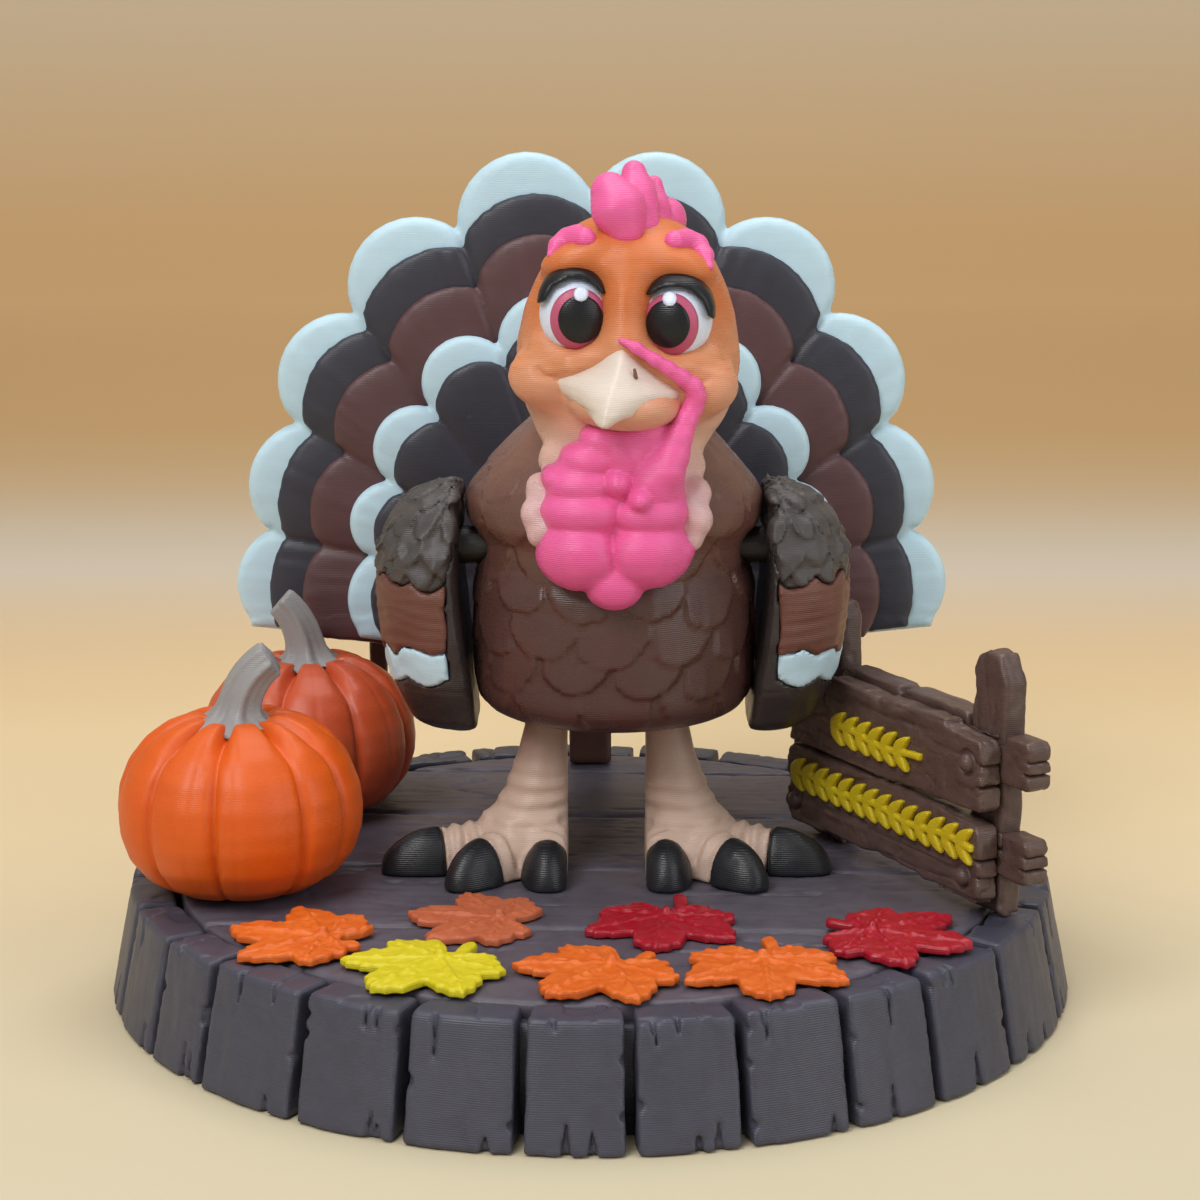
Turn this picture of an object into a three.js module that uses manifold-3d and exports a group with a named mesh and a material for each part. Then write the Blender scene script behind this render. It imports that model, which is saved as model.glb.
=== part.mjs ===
// A printed turkey figure with a two-tier tail fan on a round base of planks and blocks.
// Millimetres. +Z is up, the turkey faces -Y, and the origin is the middle of the base's underside.

import * as THREE from 'three';
import { mergeVertices } from 'three/addons/utils/BufferGeometryUtils.js';
import Module from 'manifold-3d';

const wasm = await Module();
wasm.setup();

// Clearances
const fitGap = 0.3; // between fitted pieces that stay together
const layGap = 0.1; // under a flat piece that lies on another
const runGap = 0.4; // round a piece that turns
const overrun = 1; // how far a cutting shape passes the face that it cuts
const weldDistance = 1e-4; // vertices closer than this are one vertex

// Driving dimensions of the base
const base = {
  footRadius: 50,
  rimTaper: 2.4,
  rimHeight: 11.8,
  rimWidth: 6.9,
  edgeRound: 0.9,
  blockCorner: 1.1,
  blockGap: 1,
  bridgeWidth: 1.5,
  deckHeight: 11.6,
  grooveWidth: 0.5,
  grooveDepth: 0.6,
};
const frontGapDegrees = [-58, -47.2, -32.7, -19.9, -7.2, 4.4, 16.3, 28.6, 40.3, 54.2, 70];
const rearBlockCount = 18;
const plankTurnDegrees = -2.8;
const plankSeamShares = [0.82, 0.395, -0.064, -0.514]; // of the deck's radius

// Driving dimensions of the turkey. Heights are above the deck.
const turkeyShift = 2.3; // how far the turkey stands to the right of the base's middle
const body = {
  underside: 16,
  height: 32.4,
  radius: 15.3,
  backReach: 19.5,
  neckBoreRadius: 3.4,
  neckBoreDepth: 10.5,
  recessReach: 5.6,
  recessDepth: 9,
  recessHeight: 3.6,
  bossInset: 0.2,
  bossWidth: 5,
  bossHeight: 2.6,
};
// Height and radius of the body, as shares of its height and radius
const bodyProfileShares = [
  [0, 0.6], [0.022, 0.79], [0.062, 0.885], [0.136, 0.925], [0.32, 0.945], [0.5, 0.97],
  [0.69, 1], [0.753, 0.955], [0.83, 0.825], [0.907, 0.675], [0.969, 0.555], [1, 0.48],
];

const shoulder = { height: 33.7, pegRadius: 2, pegBodyDepth: 7, pegWingDepth: 3.2 };
const wing = {
  thickness: 8.6,
  height: 26,
  rise: 6.7,
  frontReach: 8.5,
  backReach: 10,
  topOffset: 1.8,
  inlayStart: 3.9,
  tuftEdgeDrop: 2.7,
  patchEdgeDrop: 10.2,
  bandEdgeDrop: 13.4,
  edgeWave: 0.7,
  edgeWaveCount: 3,
};
// Level, bulge, front and back reach and inward offset of the wing's level cuts
const wingRingShares = [
  [0, 0.6, 0.34, 0.28, 1], [0.06, 0.8, 0.64, 0.54, 0.95], [0.2, 0.97, 0.86, 0.8, 0.75],
  [0.4, 1, 0.98, 0.96, 0.35], [0.56, 1, 1, 1, 0.1], [0.74, 0.95, 0.97, 0.95, 0],
  [0.87, 0.8, 0.84, 0.82, 0], [0.95, 0.58, 0.62, 0.6, 0], [1, 0.28, 0.34, 0.32, 0],
];
// Outline of a level cut through the wing: outward share, then front (negative) or back share
const wingSectionShares = [
  [0, -0.88], [0.1, -1], [0.34, -1], [0.62, -0.78], [0.88, -0.36], [1, 0.08],
  [0.9, 0.5], [0.64, 0.82], [0.3, 1], [0.04, 0.92], [0, 0.1],
];

const leg = { innerReach: 3.95, footShift: -0.65, length: 15.7, centreBack: 1, nailStartShare: 0.6 };
// Height, outward place, half width and half depth of the leg's level cuts, of its length
const legRingShares = [
  [0, 0.25, 0.29, 0.27], [0.3, 0.22, 0.24, 0.23], [0.6, 0.165, 0.165, 0.17], [1, 0.11, 0.12, 0.13],
];
const toe = {
  reach: 10.8,
  rootHalfWidth: 3.1,
  rootHeight: 6.2,
  endHalfWidth: 2.35,
  endHeight: 3.9,
  nailSwell: 0.15,
};
// Root's outward place as a share of the leg's length, then the tip from the root as shares of the reach
const toeShares = {
  inner: { root: 0.162, outward: 0.01, forward: 1 },
  middle: { root: 0.232, outward: 0.6, forward: 0.98 },
  outer: { root: 0.245, outward: 1.34, forward: 0.34 },
};
// Cut across a toe: share of its half width, then share of its height
const archShares = [
  [-0.8, 0], [-1, 0.3], [-0.82, 0.72], [-0.4, 0.96], [0.4, 0.96], [0.82, 0.72], [1, 0.3], [0.8, 0],
];
// Length, half width and height of a nail's cuts
const nailRingShares = [[0, 1, 1], [0.4, 0.92, 0.86], [0.75, 0.66, 0.56], [1, 0.22, 0.2]];

// Driving dimensions of the head, which turns about the body's upright axis
const head = {
  halfWidth: 11.2,
  overhang: 2.3,
  backReach: 4.6,
  height: 19,
  sideOffset: 1.15,
  spigotRadius: 3,
};
// Height, half width, front reach and back reach of the head's level cuts
const headRingShares = [
  [0, 0.76, 0.89, 0.85], [0.14, 0.93, 0.98, 1], [0.3, 1, 1, 1], [0.46, 0.97, 0.985, 0.87],
  [0.62, 0.89, 0.955, 0.6], [0.77, 0.77, 0.885, 0.3], [0.9, 0.58, 0.75, -0.15], [1, 0.24, 0.55, -0.8],
];
const collar = { drop: 17, thickness: 1.4, edgeThickness: 0.4, throatProud: 0.4 };
// Drop below the body's top, half angle in degrees, and how far the collar is throat rather than bib
const collarRings = [
  { dropShare: 1, halfDegrees: 20, throatShare: 0 },
  { dropShare: 0.95, halfDegrees: 26, throatShare: 0 },
  { dropShare: 0.82, halfDegrees: 34, throatShare: 0 },
  { dropShare: 0.62, halfDegrees: 36, throatShare: 0 },
  { dropShare: 0.42, halfDegrees: 33, throatShare: 0.45 },
  { dropShare: 0.22, halfDegrees: 31, throatShare: 1 },
  { dropShare: 0, halfDegrees: 40, throatShare: 1 },
];
const beak = {
  halfWidth: 6.3,
  halfHeight: 4.5,
  length: 7.4,
  tipDrop: 3.4,
  sunk: 3.4,
  rise: 3.9,
  sideOffset: 0.6,
  tipSwing: 1.4,
  setback: 2,
};
const beakRingShares = [[0, 1], [0.44, 1], [0.6, 0.88], [0.78, 0.62], [0.93, 0.3], [1, 0.08]];
const beakSectionShares = [
  [-1, 0], [-0.8, 0.34], [-0.4, 0.76], [0, 1], [0.4, 0.76], [0.8, 0.34],
  [1, 0], [0.75, -0.3], [0.3, -0.48], [-0.3, -0.48], [-0.75, -0.3],
];
const eye = {
  halfWidth: 3.3,
  depth: 2.9,
  halfHeight: 3.8,
  spread: 4.85,
  rise: 9.4,
  setback: 3.7,
  pupilHalfWidth: 1.95,
  pupilHalfHeight: 2.3,
  pupilDepth: 1.5,
  pupilInset: 0.9,
  lidThickness: 0.9,
  lidLevel: 1.7,
};
const brow = {
  length: 6.4,
  height: 2.2,
  thickness: 1,
  depth: 9,
  reach: 11.5,
  spread: 5.4,
  rise: 16.6,
};
const browTiltDegrees = 24;
// Middle, from the head's seat and the face, and radii of each lobe of the comb, of the head's height
const combLobeShares = [
  { x: 0.005, back: 0.31, z: 1.04, rx: 0.16, ry: 0.155, rz: 0.2 },
  { x: 0.11, back: 0.47, z: 1.1, rx: 0.125, ry: 0.15, rz: 0.21 },
  { x: 0.21, back: 0.61, z: 1.03, rx: 0.1, ry: 0.15, rz: 0.16 },
  { x: 0.27, back: 0.71, z: 0.95, rx: 0.115, ry: 0.15, rz: 0.12 },
];
// Middle, from the head's seat and the body's front, and radii of the wattle's lobes, of the collar's drop
const wattleLobeShares = [
  { x: -0.194, out: 0.135, z: -0.804, rx: 0.229, ry: 0.135, rz: 0.2 },
  { x: 0.229, out: 0.135, z: -0.798, rx: 0.241, ry: 0.135, rz: 0.2 },
  { x: 0.024, out: 0.129, z: -0.871, rx: 0.188, ry: 0.129, rz: 0.171 },
  { x: -0.206, out: 0.112, z: -0.51, rx: 0.229, ry: 0.141, rz: 0.23 },
  { x: 0.229, out: 0.112, z: -0.52, rx: 0.235, ry: 0.147, rz: 0.22 },
  { x: -0.02, out: 0.112, z: -0.28, rx: 0.29, ry: 0.153, rz: 0.25 },
  { x: 0.288, out: 0.094, z: -0.259, rx: 0.094, ry: 0.106, rz: 0.259 },
];
const snood = { radius: 1.15, sides: 6, steps: 8 };
// The snood's middle line from the beak's root down past its right corner, of the collar's drop
const snoodPlaceShares = [
  { x: 0.03, out: 0.16, z: 0.43 }, { x: 0.23, out: 0.135, z: 0.34 }, { x: 0.43, out: 0.085, z: 0.25 },
  { x: 0.42, out: 0.07, z: 0.08 }, { x: 0.33, out: 0.088, z: -0.094 }, { x: 0.288, out: 0.094, z: -0.294 },
];

// Driving dimensions of the tail fan. Angles are from straight up.
const fan = {
  radius: 50,
  centreHeight: 23.4,
  backPlane: 30,
  tipThickness: 2.2,
  layerThickness: 1,
  bottomHeight: 14.8,
};
const lobeDegrees = [10, 30, 50, 70, 90];
// Each tier's lobe radii, the notches before each lobe and the lower end's radius, of the fan's,
// and the lower end's angle
const tierShares = {
  largeTips: {
    peaks: [1, 0.948, 0.886, 0.824, 0.814],
    notches: [0.9, 0.872, 0.832, 0.776, 0.738],
    end: 0.788,
    endDegrees: 96.5,
  },
  largeDark: {
    peaks: [0.908, 0.86, 0.808, 0.748, 0.734],
    notches: [0.856, 0.84, 0.79, 0.732, 0.704],
    end: 0.73,
    endDegrees: 96.5,
  },
  largeBrown: {
    peaks: [0.82, 0.768, 0.72, 0.672, 0.658],
    notches: [0.76, 0.746, 0.7, 0.648, 0.622],
    end: 0.63,
    endDegrees: 99.4,
  },
  smallTips: {
    peaks: [0.69, 0.66, 0.612, 0.574, 0.552],
    notches: [0.62, 0.604, 0.564, 0.528, 0.506],
    end: 0.536,
    endDegrees: 100.4,
  },
  smallDark: {
    peaks: [0.62, 0.596, 0.548, 0.516, 0.498],
    notches: [0.58, 0.564, 0.532, 0.492, 0.468],
    end: 0.484,
    endDegrees: 101,
  },
};
const lobeSteps = 6;
const tailPeg = { radius: 3.6, height: 29, bodyDepth: 3 };
const stand = {
  centreWidth: 5,
  centreDepth: 4.6,
  edgeSetback: 0.6,
  sideWidth: 2,
  sideDepth: 2.4,
  sideSpread: 24.8,
  railHeight: 3,
  railLevel: 19.5,
  armHeight: 4,
};

// Driving dimensions of the pumpkins and their stems
const pumpkins = {
  front: { radius: 12.5, height: 18.9, stemRise: 6.6, stemSwing: 3.6, hue: 'pumpkin' },
  rear: { radius: 12, height: 17.8, stemRise: 7.4, stemSwing: -2.6, hue: 'pumpkinRed' },
};
// Where a pumpkin stands, of the base's radius
const pumpkinPlaceShares = { front: { x: -0.708, y: -0.18 }, rear: { x: -0.634, y: 0.388 } };
const pumpkinRibCount = 9;
const pumpkinRibDepthShare = 0.09;
// Level and radius of a pumpkin's level cuts
const pumpkinProfileShares = [
  [0, 0.42], [0.05, 0.66], [0.2, 0.9], [0.42, 1], [0.64, 0.96], [0.84, 0.78],
  [0.96, 0.5], [0.98, 0.3], [0.9, 0.14],
];
const stem = { footRadius: 3.1, neckRadius: 1.7, tipRadius: 1.9, flutes: 5, fluteShare: 0.16, steps: 5 };

// Driving dimensions of the leaves
const leafThickness = 0.8;
// Half of a leaf's outline: degrees from its tip, then radius
const leafHalfShares = [
  [0, 1], [8, 0.88], [13, 0.87], [21, 0.74], [29, 0.53], [39, 0.64], [45, 0.8], [55, 0.91],
  [63, 0.78], [74, 0.66], [83, 0.52], [95, 0.64], [112, 0.58], [138, 0.48], [158, 0.3],
  [164, 0.18], [173, 0.44],
];
// Where a leaf's veins meet, of the deck's radius, its size, of leafReach, and its turn in degrees
const leafReach = 10;
const leafShares = [
  { x: -0.5748, y: -0.6425, size: 1.02, turn: 74, onRim: true, hue: 'orange' },
  { x: -0.2056, y: -0.5187, size: 0.97, turn: 78, onRim: false, hue: 'copper' },
  { x: -0.3084, y: -0.8014, size: 1.03, turn: 143, onRim: true, hue: 'yellow' },
  { x: 0.1729, y: -0.486, size: 0.94, turn: 172, onRim: false, hue: 'crimson' },
  { x: 0.0584, y: -0.8271, size: 1.01, turn: 141, onRim: true, hue: 'orange' },
  { x: 0.3738, y: -0.7874, size: 1.02, turn: 180, onRim: true, hue: 'orange' },
  { x: 0.6262, y: -0.6005, size: 1.03, turn: 247, onRim: true, hue: 'crimson' },
];

// Driving dimensions of the sign. Its own X runs along the boards and its front faces -Y.
const sign = {
  wingClearance: 2.85,
  boardThickness: 2.6,
  boardBevel: 0.5,
  frameThickness: 2.6,
  postWidth: 5.6,
  leftPostPlace: -9.3,
  rightPostPlace: 19,
  rightPostTop: 26.2,
  leftPostTop: 26.7,
  postChamfer: 2,
  leftStub: 1.2,
  rightStub: 4.1,
  railHeight: 4.8,
  upperRailLevel: 13.6,
  lowerRailLevel: 4.2,
  blockRise: 1.9,
  blockNotch: 0.8,
  blockCount: 3,
  sprigRaise: 0.6,
};
const signTurnDegrees = -62;
const signBackShare = -0.0172; // of the base's radius
const boards = {
  lower: { start: -12.6, end: 21.8, low: 1.7, high: 9.6, sprigStart: -11.2, sprigEnd: 21.2, sprigLevel: 7.6 },
  upper: { start: -12.5, end: 22, low: 11, high: 18.3, sprigStart: -3.6, sprigEnd: 12.4, sprigLevel: 14.3 },
};
// Outlines of the boards: share of the length, then share of the height
const boardShares = {
  lower: [
    [0, 0.2], [0.012, 0.12], [0.1, 0.1], [0.3, 0.03], [0.62, 0], [0.985, 0.02], [1, 0.12], [1, 0.84],
    [0.985, 0.92], [0.83, 0.96], [0.8, 0.88], [0.52, 0.95], [0.5, 0.88], [0.22, 1], [0.015, 0.98], [0, 0.9],
  ],
  upper: [
    [0, 0.06], [0.012, 0], [0.3, 0.03], [0.62, 0], [0.985, 0.02], [1, 0.12], [1, 0.84], [0.985, 0.92],
    [0.76, 0.96], [0.74, 0.88], [0.52, 0.92], [0.5, 0.84], [0.36, 0.9], [0.34, 1], [0.245, 0.97],
    [0.12, 0.6], [0, 0.24],
  ],
};
const sprig = {
  stalkHeight: 0.7,
  grainLength: 2.9,
  grainHalfWidth: 0.62,
  grainPitch: 2.3,
  tiltDegrees: 38,
};
const grainShares = [[-1, 0], [-0.35, -1], [0.55, -0.8], [1, 0], [0.55, 0.8], [-0.35, 1]];

// Colours
const colours = {
  taupe: 0x58524f,
  bodyBrown: 0x6b4a3c,
  skin: 0xdeb896,
  nail: 0x333333,
  white: 0xd7e8e4,
  dark: 0x3a3436,
  maroon: 0x5c3b36,
  standBrown: 0x5a3a2c,
  head: 0xe58f56,
  beak: 0xebcfae,
  pink: 0xee5087,
  eyeWhite: 0xd5def5,
  black: 0x0b0f14,
  wingDark: 0x4a3e38,
  tuft: 0x51473d,
  patch: 0x6b3b2f,
  pumpkin: 0xe8601a,
  pumpkinRed: 0xc94f2b,
  stem: 0x9a938c,
  orange: 0xe0661f,
  copper: 0xc5683c,
  yellow: 0xe8dc1e,
  crimson: 0xb91430,
  wood: 0x503a30,
  gold: 0xc8b414,
};
const satinRoughness = 0.5;

// Helpers for solids
function indexedGeometry(positions, indices) {
  const geometry = new THREE.BufferGeometry();
  geometry.setAttribute('position', new THREE.BufferAttribute(new Float32Array(positions), 3));
  geometry.setIndex(new THREE.BufferAttribute(new Uint32Array(indices), 1));
  return geometry;
}

function wholeTriangles(indices) {
  const kept = [];
  for (let i = 0; i < indices.length; i += 3) {
    const [a, b, c] = [indices[i], indices[i + 1], indices[i + 2]];
    if (a !== b && b !== c && c !== a) kept.push(a, b, c);
  }
  return kept;
}

function signedVolume(geometry) {
  const place = geometry.attributes.position;
  const index = geometry.index.array;
  const corner = [new THREE.Vector3(), new THREE.Vector3(), new THREE.Vector3()];
  let total = 0;
  for (let i = 0; i < index.length; i += 3) {
    corner.forEach((point, k) => point.fromBufferAttribute(place, index[i + k]));
    total += corner[0].dot(corner[1].cross(corner[2]));
  }
  return total;
}

function closedShape(geometry) {
  const bare = geometry.clone();
  bare.deleteAttribute('normal');
  bare.deleteAttribute('uv');
  const merged = mergeVertices(bare, weldDistance);
  const indices = wholeTriangles(merged.index.array);
  const shape = indexedGeometry(merged.attributes.position.array, indices);
  if (signedVolume(shape) < 0) shape.setIndex([...shape.index.array].reverse());
  return shape;
}

function solidOf(geometry) {
  const shape = closedShape(geometry);
  const mesh = new wasm.Mesh({
    numProp: 3,
    vertProperties: shape.attributes.position.array,
    triVerts: new Uint32Array(shape.index.array),
  });
  return new wasm.Manifold(mesh);
}

function geometryOf(solid) {
  const mesh = solid.getMesh();
  return indexedGeometry(mesh.vertProperties, mesh.triVerts);
}

function joined(solids) {
  return solids.reduce((whole, next) => whole.add(next));
}

// A closed skin over rings that all have the same number of points
function loft(rings) {
  const count = rings[0].length;
  const positions = [];
  const indices = [];
  rings.flat().forEach((point) => positions.push(point.x, point.y, point.z));
  for (let level = 0; level + 1 < rings.length; level += 1) {
    for (let i = 0; i < count; i += 1) {
      const a = level * count + i;
      const b = level * count + ((i + 1) % count);
      indices.push(a, b, b + count, a, b + count, a + count);
    }
  }
  [0, rings.length - 1].forEach((level) => {
    const middle = rings[level].reduce((sum, p) => sum.add(p), new THREE.Vector3()).divideScalar(count);
    const hub = positions.length / 3;
    positions.push(middle.x, middle.y, middle.z);
    for (let i = 0; i < count; i += 1) {
      const a = level * count + i;
      const b = level * count + ((i + 1) % count);
      if (level === 0) indices.push(b, a, hub);
      else indices.push(a, b, hub);
    }
  });
  return closedShape(indexedGeometry(positions, indices));
}

function evenDegrees(count, span = 360, start = 0) {
  return Array.from({ length: count }, (_, i) => start + (span * i) / count);
}

function polar(degrees, radius) {
  const angle = THREE.MathUtils.degToRad(degrees);
  return { across: radius * Math.sin(angle), along: radius * Math.cos(angle) };
}

function flatPoint(degrees, radius) {
  const { across, along } = polar(degrees, radius);
  return new THREE.Vector2(across, along);
}

function ellipseRing(count, x, y, z, halfWidth, halfDepth) {
  return evenDegrees(count).map((degrees) => {
    const { across, along } = polar(degrees, 1);
    return new THREE.Vector3(x + halfWidth * across, y - halfDepth * along, z);
  });
}

function boxSolid(low, high) {
  const size = new THREE.Vector3().subVectors(high, low);
  const geometry = new THREE.BoxGeometry(size.x, size.y, size.z);
  geometry.translate((low.x + high.x) / 2, (low.y + high.y) / 2, (low.z + high.z) / 2);
  return solidOf(geometry);
}

function point(x, y, z) {
  return new THREE.Vector3(x, y, z);
}

function rodAlongX(radius, from, to, y, z, sides = 16) {
  const geometry = new THREE.CylinderGeometry(radius, radius, Math.abs(to - from), sides);
  geometry.rotateZ(Math.PI / 2);
  geometry.translate((from + to) / 2, y, z);
  return solidOf(geometry);
}

function rodAlongY(radius, from, to, x, z, sides = 20) {
  const geometry = new THREE.CylinderGeometry(radius, radius, Math.abs(to - from), sides);
  geometry.translate(x, (from + to) / 2, z);
  return solidOf(geometry);
}

function rodAlongZ(radius, from, to, sides = 20) {
  const geometry = new THREE.CylinderGeometry(radius, radius, Math.abs(to - from), sides);
  geometry.rotateX(Math.PI / 2);
  geometry.translate(0, 0, (from + to) / 2);
  return solidOf(geometry);
}

function ellipsoidSolid({ x, y, z, rx, ry, rz }, gap = 0, across = 12, upward = 8) {
  const geometry = new THREE.SphereGeometry(1, across, upward);
  geometry.scale(rx + gap, ry + gap, rz + gap);
  geometry.translate(x, y, z);
  return solidOf(geometry);
}

function addPiece(group, name, shape, colour) {
  const geometry = shape.getMesh ? geometryOf(shape) : shape;
  geometry.computeVertexNormals();
  const material = new THREE.MeshStandardMaterial({ color: colour, roughness: satinRoughness, metalness: 0 });
  const mesh = new THREE.Mesh(geometry, material);
  mesh.name = name;
  group.add(mesh);
  return mesh;
}

// Base: a ring of upright blocks round a planked deck
function blockGapDegrees() {
  const first = frontGapDegrees[0] + 360;
  const last = frontGapDegrees.at(-1);
  const rear = evenDegrees(rearBlockCount, first - last, last).slice(1);
  return [...frontGapDegrees, ...rear];
}

function rimRing(radius, inset, z) {
  const gaps = blockGapDegrees();
  const toDegrees = (length) => THREE.MathUtils.radToDeg(length / radius);
  const half = toDegrees(base.blockGap / 2);
  const corner = toDegrees(base.blockCorner);
  const floor = radius - base.rimWidth + base.bridgeWidth;
  const face = radius - inset;
  const side = toDegrees(inset);
  return gaps.flatMap((start, i) => {
    const end = i + 1 < gaps.length ? gaps[i + 1] : gaps[0] + 360;
    const left = start + half + side;
    const right = end - half - side;
    const outline = [
      [left, floor], [left, face - base.blockCorner], [left + corner, face],
      [right - corner, face], [right, face - base.blockCorner], [right, floor],
    ];
    return outline.map(([degrees, reach]) => {
      const { across, along } = polar(degrees, reach);
      return point(across, -along, z);
    });
  });
}

function rimInnerRadius() {
  return base.footRadius - base.rimWidth;
}

function deckRadius() {
  return rimInnerRadius() - fitGap;
}

function makeRim() {
  const edge = base.rimHeight - base.edgeRound;
  const slope = base.rimTaper / base.rimHeight;
  const rings = [
    rimRing(base.footRadius, 0, 0),
    rimRing(base.footRadius - slope * edge, 0, edge),
    rimRing(base.footRadius - base.rimTaper, base.edgeRound, base.rimHeight),
  ];
  const hole = rodAlongZ(rimInnerRadius(), -overrun, base.rimHeight + overrun, 56);
  return solidOf(loft(rings)).subtract(hole);
}

function makeDeck() {
  const radius = deckRadius();
  const disc = rodAlongZ(radius, 0, base.deckHeight, 56);
  return plankSeamShares.reduce((deck, share) => {
    const groove = new THREE.BoxGeometry(2 * base.footRadius, base.grooveWidth, base.grooveDepth * 2);
    groove.translate(0, share * radius, base.deckHeight);
    groove.rotateZ(THREE.MathUtils.degToRad(plankTurnDegrees));
    return deck.subtract(solidOf(groove));
  }, disc);
}

// Body: round about the neck's axis in front, longer behind
function bodyRadiusAt(height) {
  const level = (height - body.underside) / body.height;
  const above = bodyProfileShares.findIndex(([share]) => share >= level);
  if (above <= 0) return body.radius * bodyProfileShares[above === 0 ? 0 : bodyProfileShares.length - 1][1];
  const [lowLevel, lowRadius] = bodyProfileShares[above - 1];
  const [highLevel, highRadius] = bodyProfileShares[above];
  const part = (level - lowLevel) / (highLevel - lowLevel);
  return body.radius * THREE.MathUtils.lerp(lowRadius, highRadius, part);
}

function bodyTop() {
  return body.underside + body.height;
}

function bodyBackAt(height) {
  return (bodyRadiusAt(height) * body.backReach) / body.radius;
}

function makeBody() {
  const rings = bodyProfileShares.map(([level, share]) => {
    const radius = share * body.radius;
    return evenDegrees(28).map((degrees) => {
      const { across, along } = polar(degrees, radius);
      const stretch = along < 0 ? body.backReach / body.radius : 1;
      return point(across, -along * stretch, body.underside + level * body.height);
    });
  });
  const bosses = [-1, 1].map((side) => shoulderBoss(side));
  const whole = joined([solidOf(loft(rings)), ...bosses]);
  const cuts = [-1, 1].flatMap((side) => [shoulderRecess(side), pegHole(side)]);
  const bore = rodAlongZ(body.neckBoreRadius, bodyTop() - body.neckBoreDepth, bodyTop() + overrun);
  const tailFace = bodyBackAt(tailPeg.height);
  const tailDepth = tailPeg.bodyDepth + fitGap;
  const tailHole = rodAlongY(
    tailPeg.radius + fitGap, tailFace - tailDepth, body.backReach + overrun, 0, tailPeg.height,
  );
  return [...cuts, bore, tailHole].reduce((rest, cut) => rest.subtract(cut), whole);
}

function shoulderRecess(side) {
  return ellipsoidSolid({
    x: side * body.radius,
    y: 0,
    z: shoulder.height,
    rx: body.recessReach,
    ry: body.recessDepth,
    rz: body.recessHeight,
  });
}

function shoulderBoss(side) {
  const reach = body.radius / 2 - body.bossInset;
  const boss = {
    x: (side * body.radius) / 2,
    y: 0,
    z: shoulder.height - body.recessHeight - body.bossHeight / 2,
    rx: reach,
    ry: body.bossWidth,
    rz: body.bossHeight,
  };
  return ellipsoidSolid(boss);
}

function pegHole(side) {
  const deep = wingReach() - shoulder.pegBodyDepth - fitGap;
  return rodAlongX(
    shoulder.pegRadius + fitGap, side * deep, side * (body.radius + overrun), 0, shoulder.height,
  );
}

// Legs: a leg and three toes with a nail at each tip
function archRing(centre, across, halfWidth, height) {
  return archShares.map(([sideShare, heightShare]) => {
    const place = centre.clone().addScaledVector(across, sideShare * halfWidth);
    place.z = heightShare * height;
    return place;
  });
}

function toeLine(side, { root: rootShare, outward, forward }) {
  const rootPlace = leg.innerReach + rootShare * leg.length;
  const root = point(side * rootPlace, -leg.centreBack, 0);
  const tip = point(side * (rootPlace + outward * toe.reach), -leg.centreBack - forward * toe.reach, 0);
  const run = tip.clone().sub(root);
  const across = point(run.y, -run.x, 0).normalize();
  return { root, run, across };
}

function makeToe(side, toePlace) {
  const { root, run, across } = toeLine(side, toePlace);
  const end = root.clone().addScaledVector(run, leg.nailStartShare);
  const middle = root.clone().lerp(end, 0.5);
  const middleHalfWidth = (toe.rootHalfWidth + toe.endHalfWidth) / 2;
  const middleHeight = (toe.rootHeight + toe.endHeight) / 2;
  return solidOf(loft([
    archRing(root, across, toe.rootHalfWidth, toe.rootHeight),
    archRing(middle, across, middleHalfWidth, middleHeight),
    archRing(end, across, toe.endHalfWidth, toe.endHeight),
  ]));
}

function makeNail(side, toePlace, gap) {
  const { root, run, across } = toeLine(side, toePlace);
  const start = root.clone().addScaledVector(run, leg.nailStartShare);
  start.addScaledVector(run.clone().normalize(), fitGap - gap);
  const tip = root.clone().add(run);
  const halfWidth = toe.endHalfWidth + toe.nailSwell + gap;
  const height = toe.endHeight + toe.nailSwell + gap;
  return solidOf(loft(nailRingShares.map(([along, widthShare, heightShare]) =>
    archRing(start.clone().lerp(tip, along), across, halfWidth * widthShare, height * heightShare))));
}

function makeLeg(side) {
  const rings = legRingShares.map(([level, place, halfWidth, halfDepth]) =>
    ellipseRing(
      12, side * (leg.innerReach + place * leg.length), -leg.centreBack, level * leg.length,
      halfWidth * leg.length, halfDepth * leg.length,
    ));
  const column = solidOf(loft(rings));
  const toes = Object.values(toeShares);
  const whole = joined([column, ...toes.map((place) => makeToe(side, place))]);
  const inner = boxSolid(
    point(Math.min(0, side * leg.innerReach), -body.radius - overrun, -overrun),
    point(Math.max(0, side * leg.innerReach), body.radius + overrun, leg.length + overrun),
  );
  const nails = toes.map((place) => makeNail(side, place, fitGap));
  return nails.reduce((rest, nail) => rest.subtract(nail), whole.subtract(inner));
}

function wingReach() {
  return body.radius + runGap;
}

// Wings: a thick paddle with inlaid feather patches, hung on a shoulder peg
function wingBlank(side) {
  const rings = wingRingShares.map(([level, bulge, front, back, lean]) => {
    const z = wing.rise - wing.height * (1 - level);
    return wingSectionShares.map(([outward, along]) => {
      const x = outward * bulge * wing.thickness - lean * wing.topOffset;
      const y = along * (along < 0 ? front * wing.frontReach : back * wing.backReach);
      return point(side * x, y, z);
    });
  });
  return solidOf(loft(rings));
}

function waveEdge(drop) {
  const from = -wing.frontReach - overrun;
  const span = wing.frontReach + wing.backReach + 2 * overrun;
  const count = 2 * wing.edgeWaveCount;
  return Array.from({ length: count + 1 }, (_, i) => {
    const lift = i % 2 === 0 ? wing.edgeWave : -wing.edgeWave;
    return new THREE.Vector2(from + (span * i) / count, lift - drop);
  });
}

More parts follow.
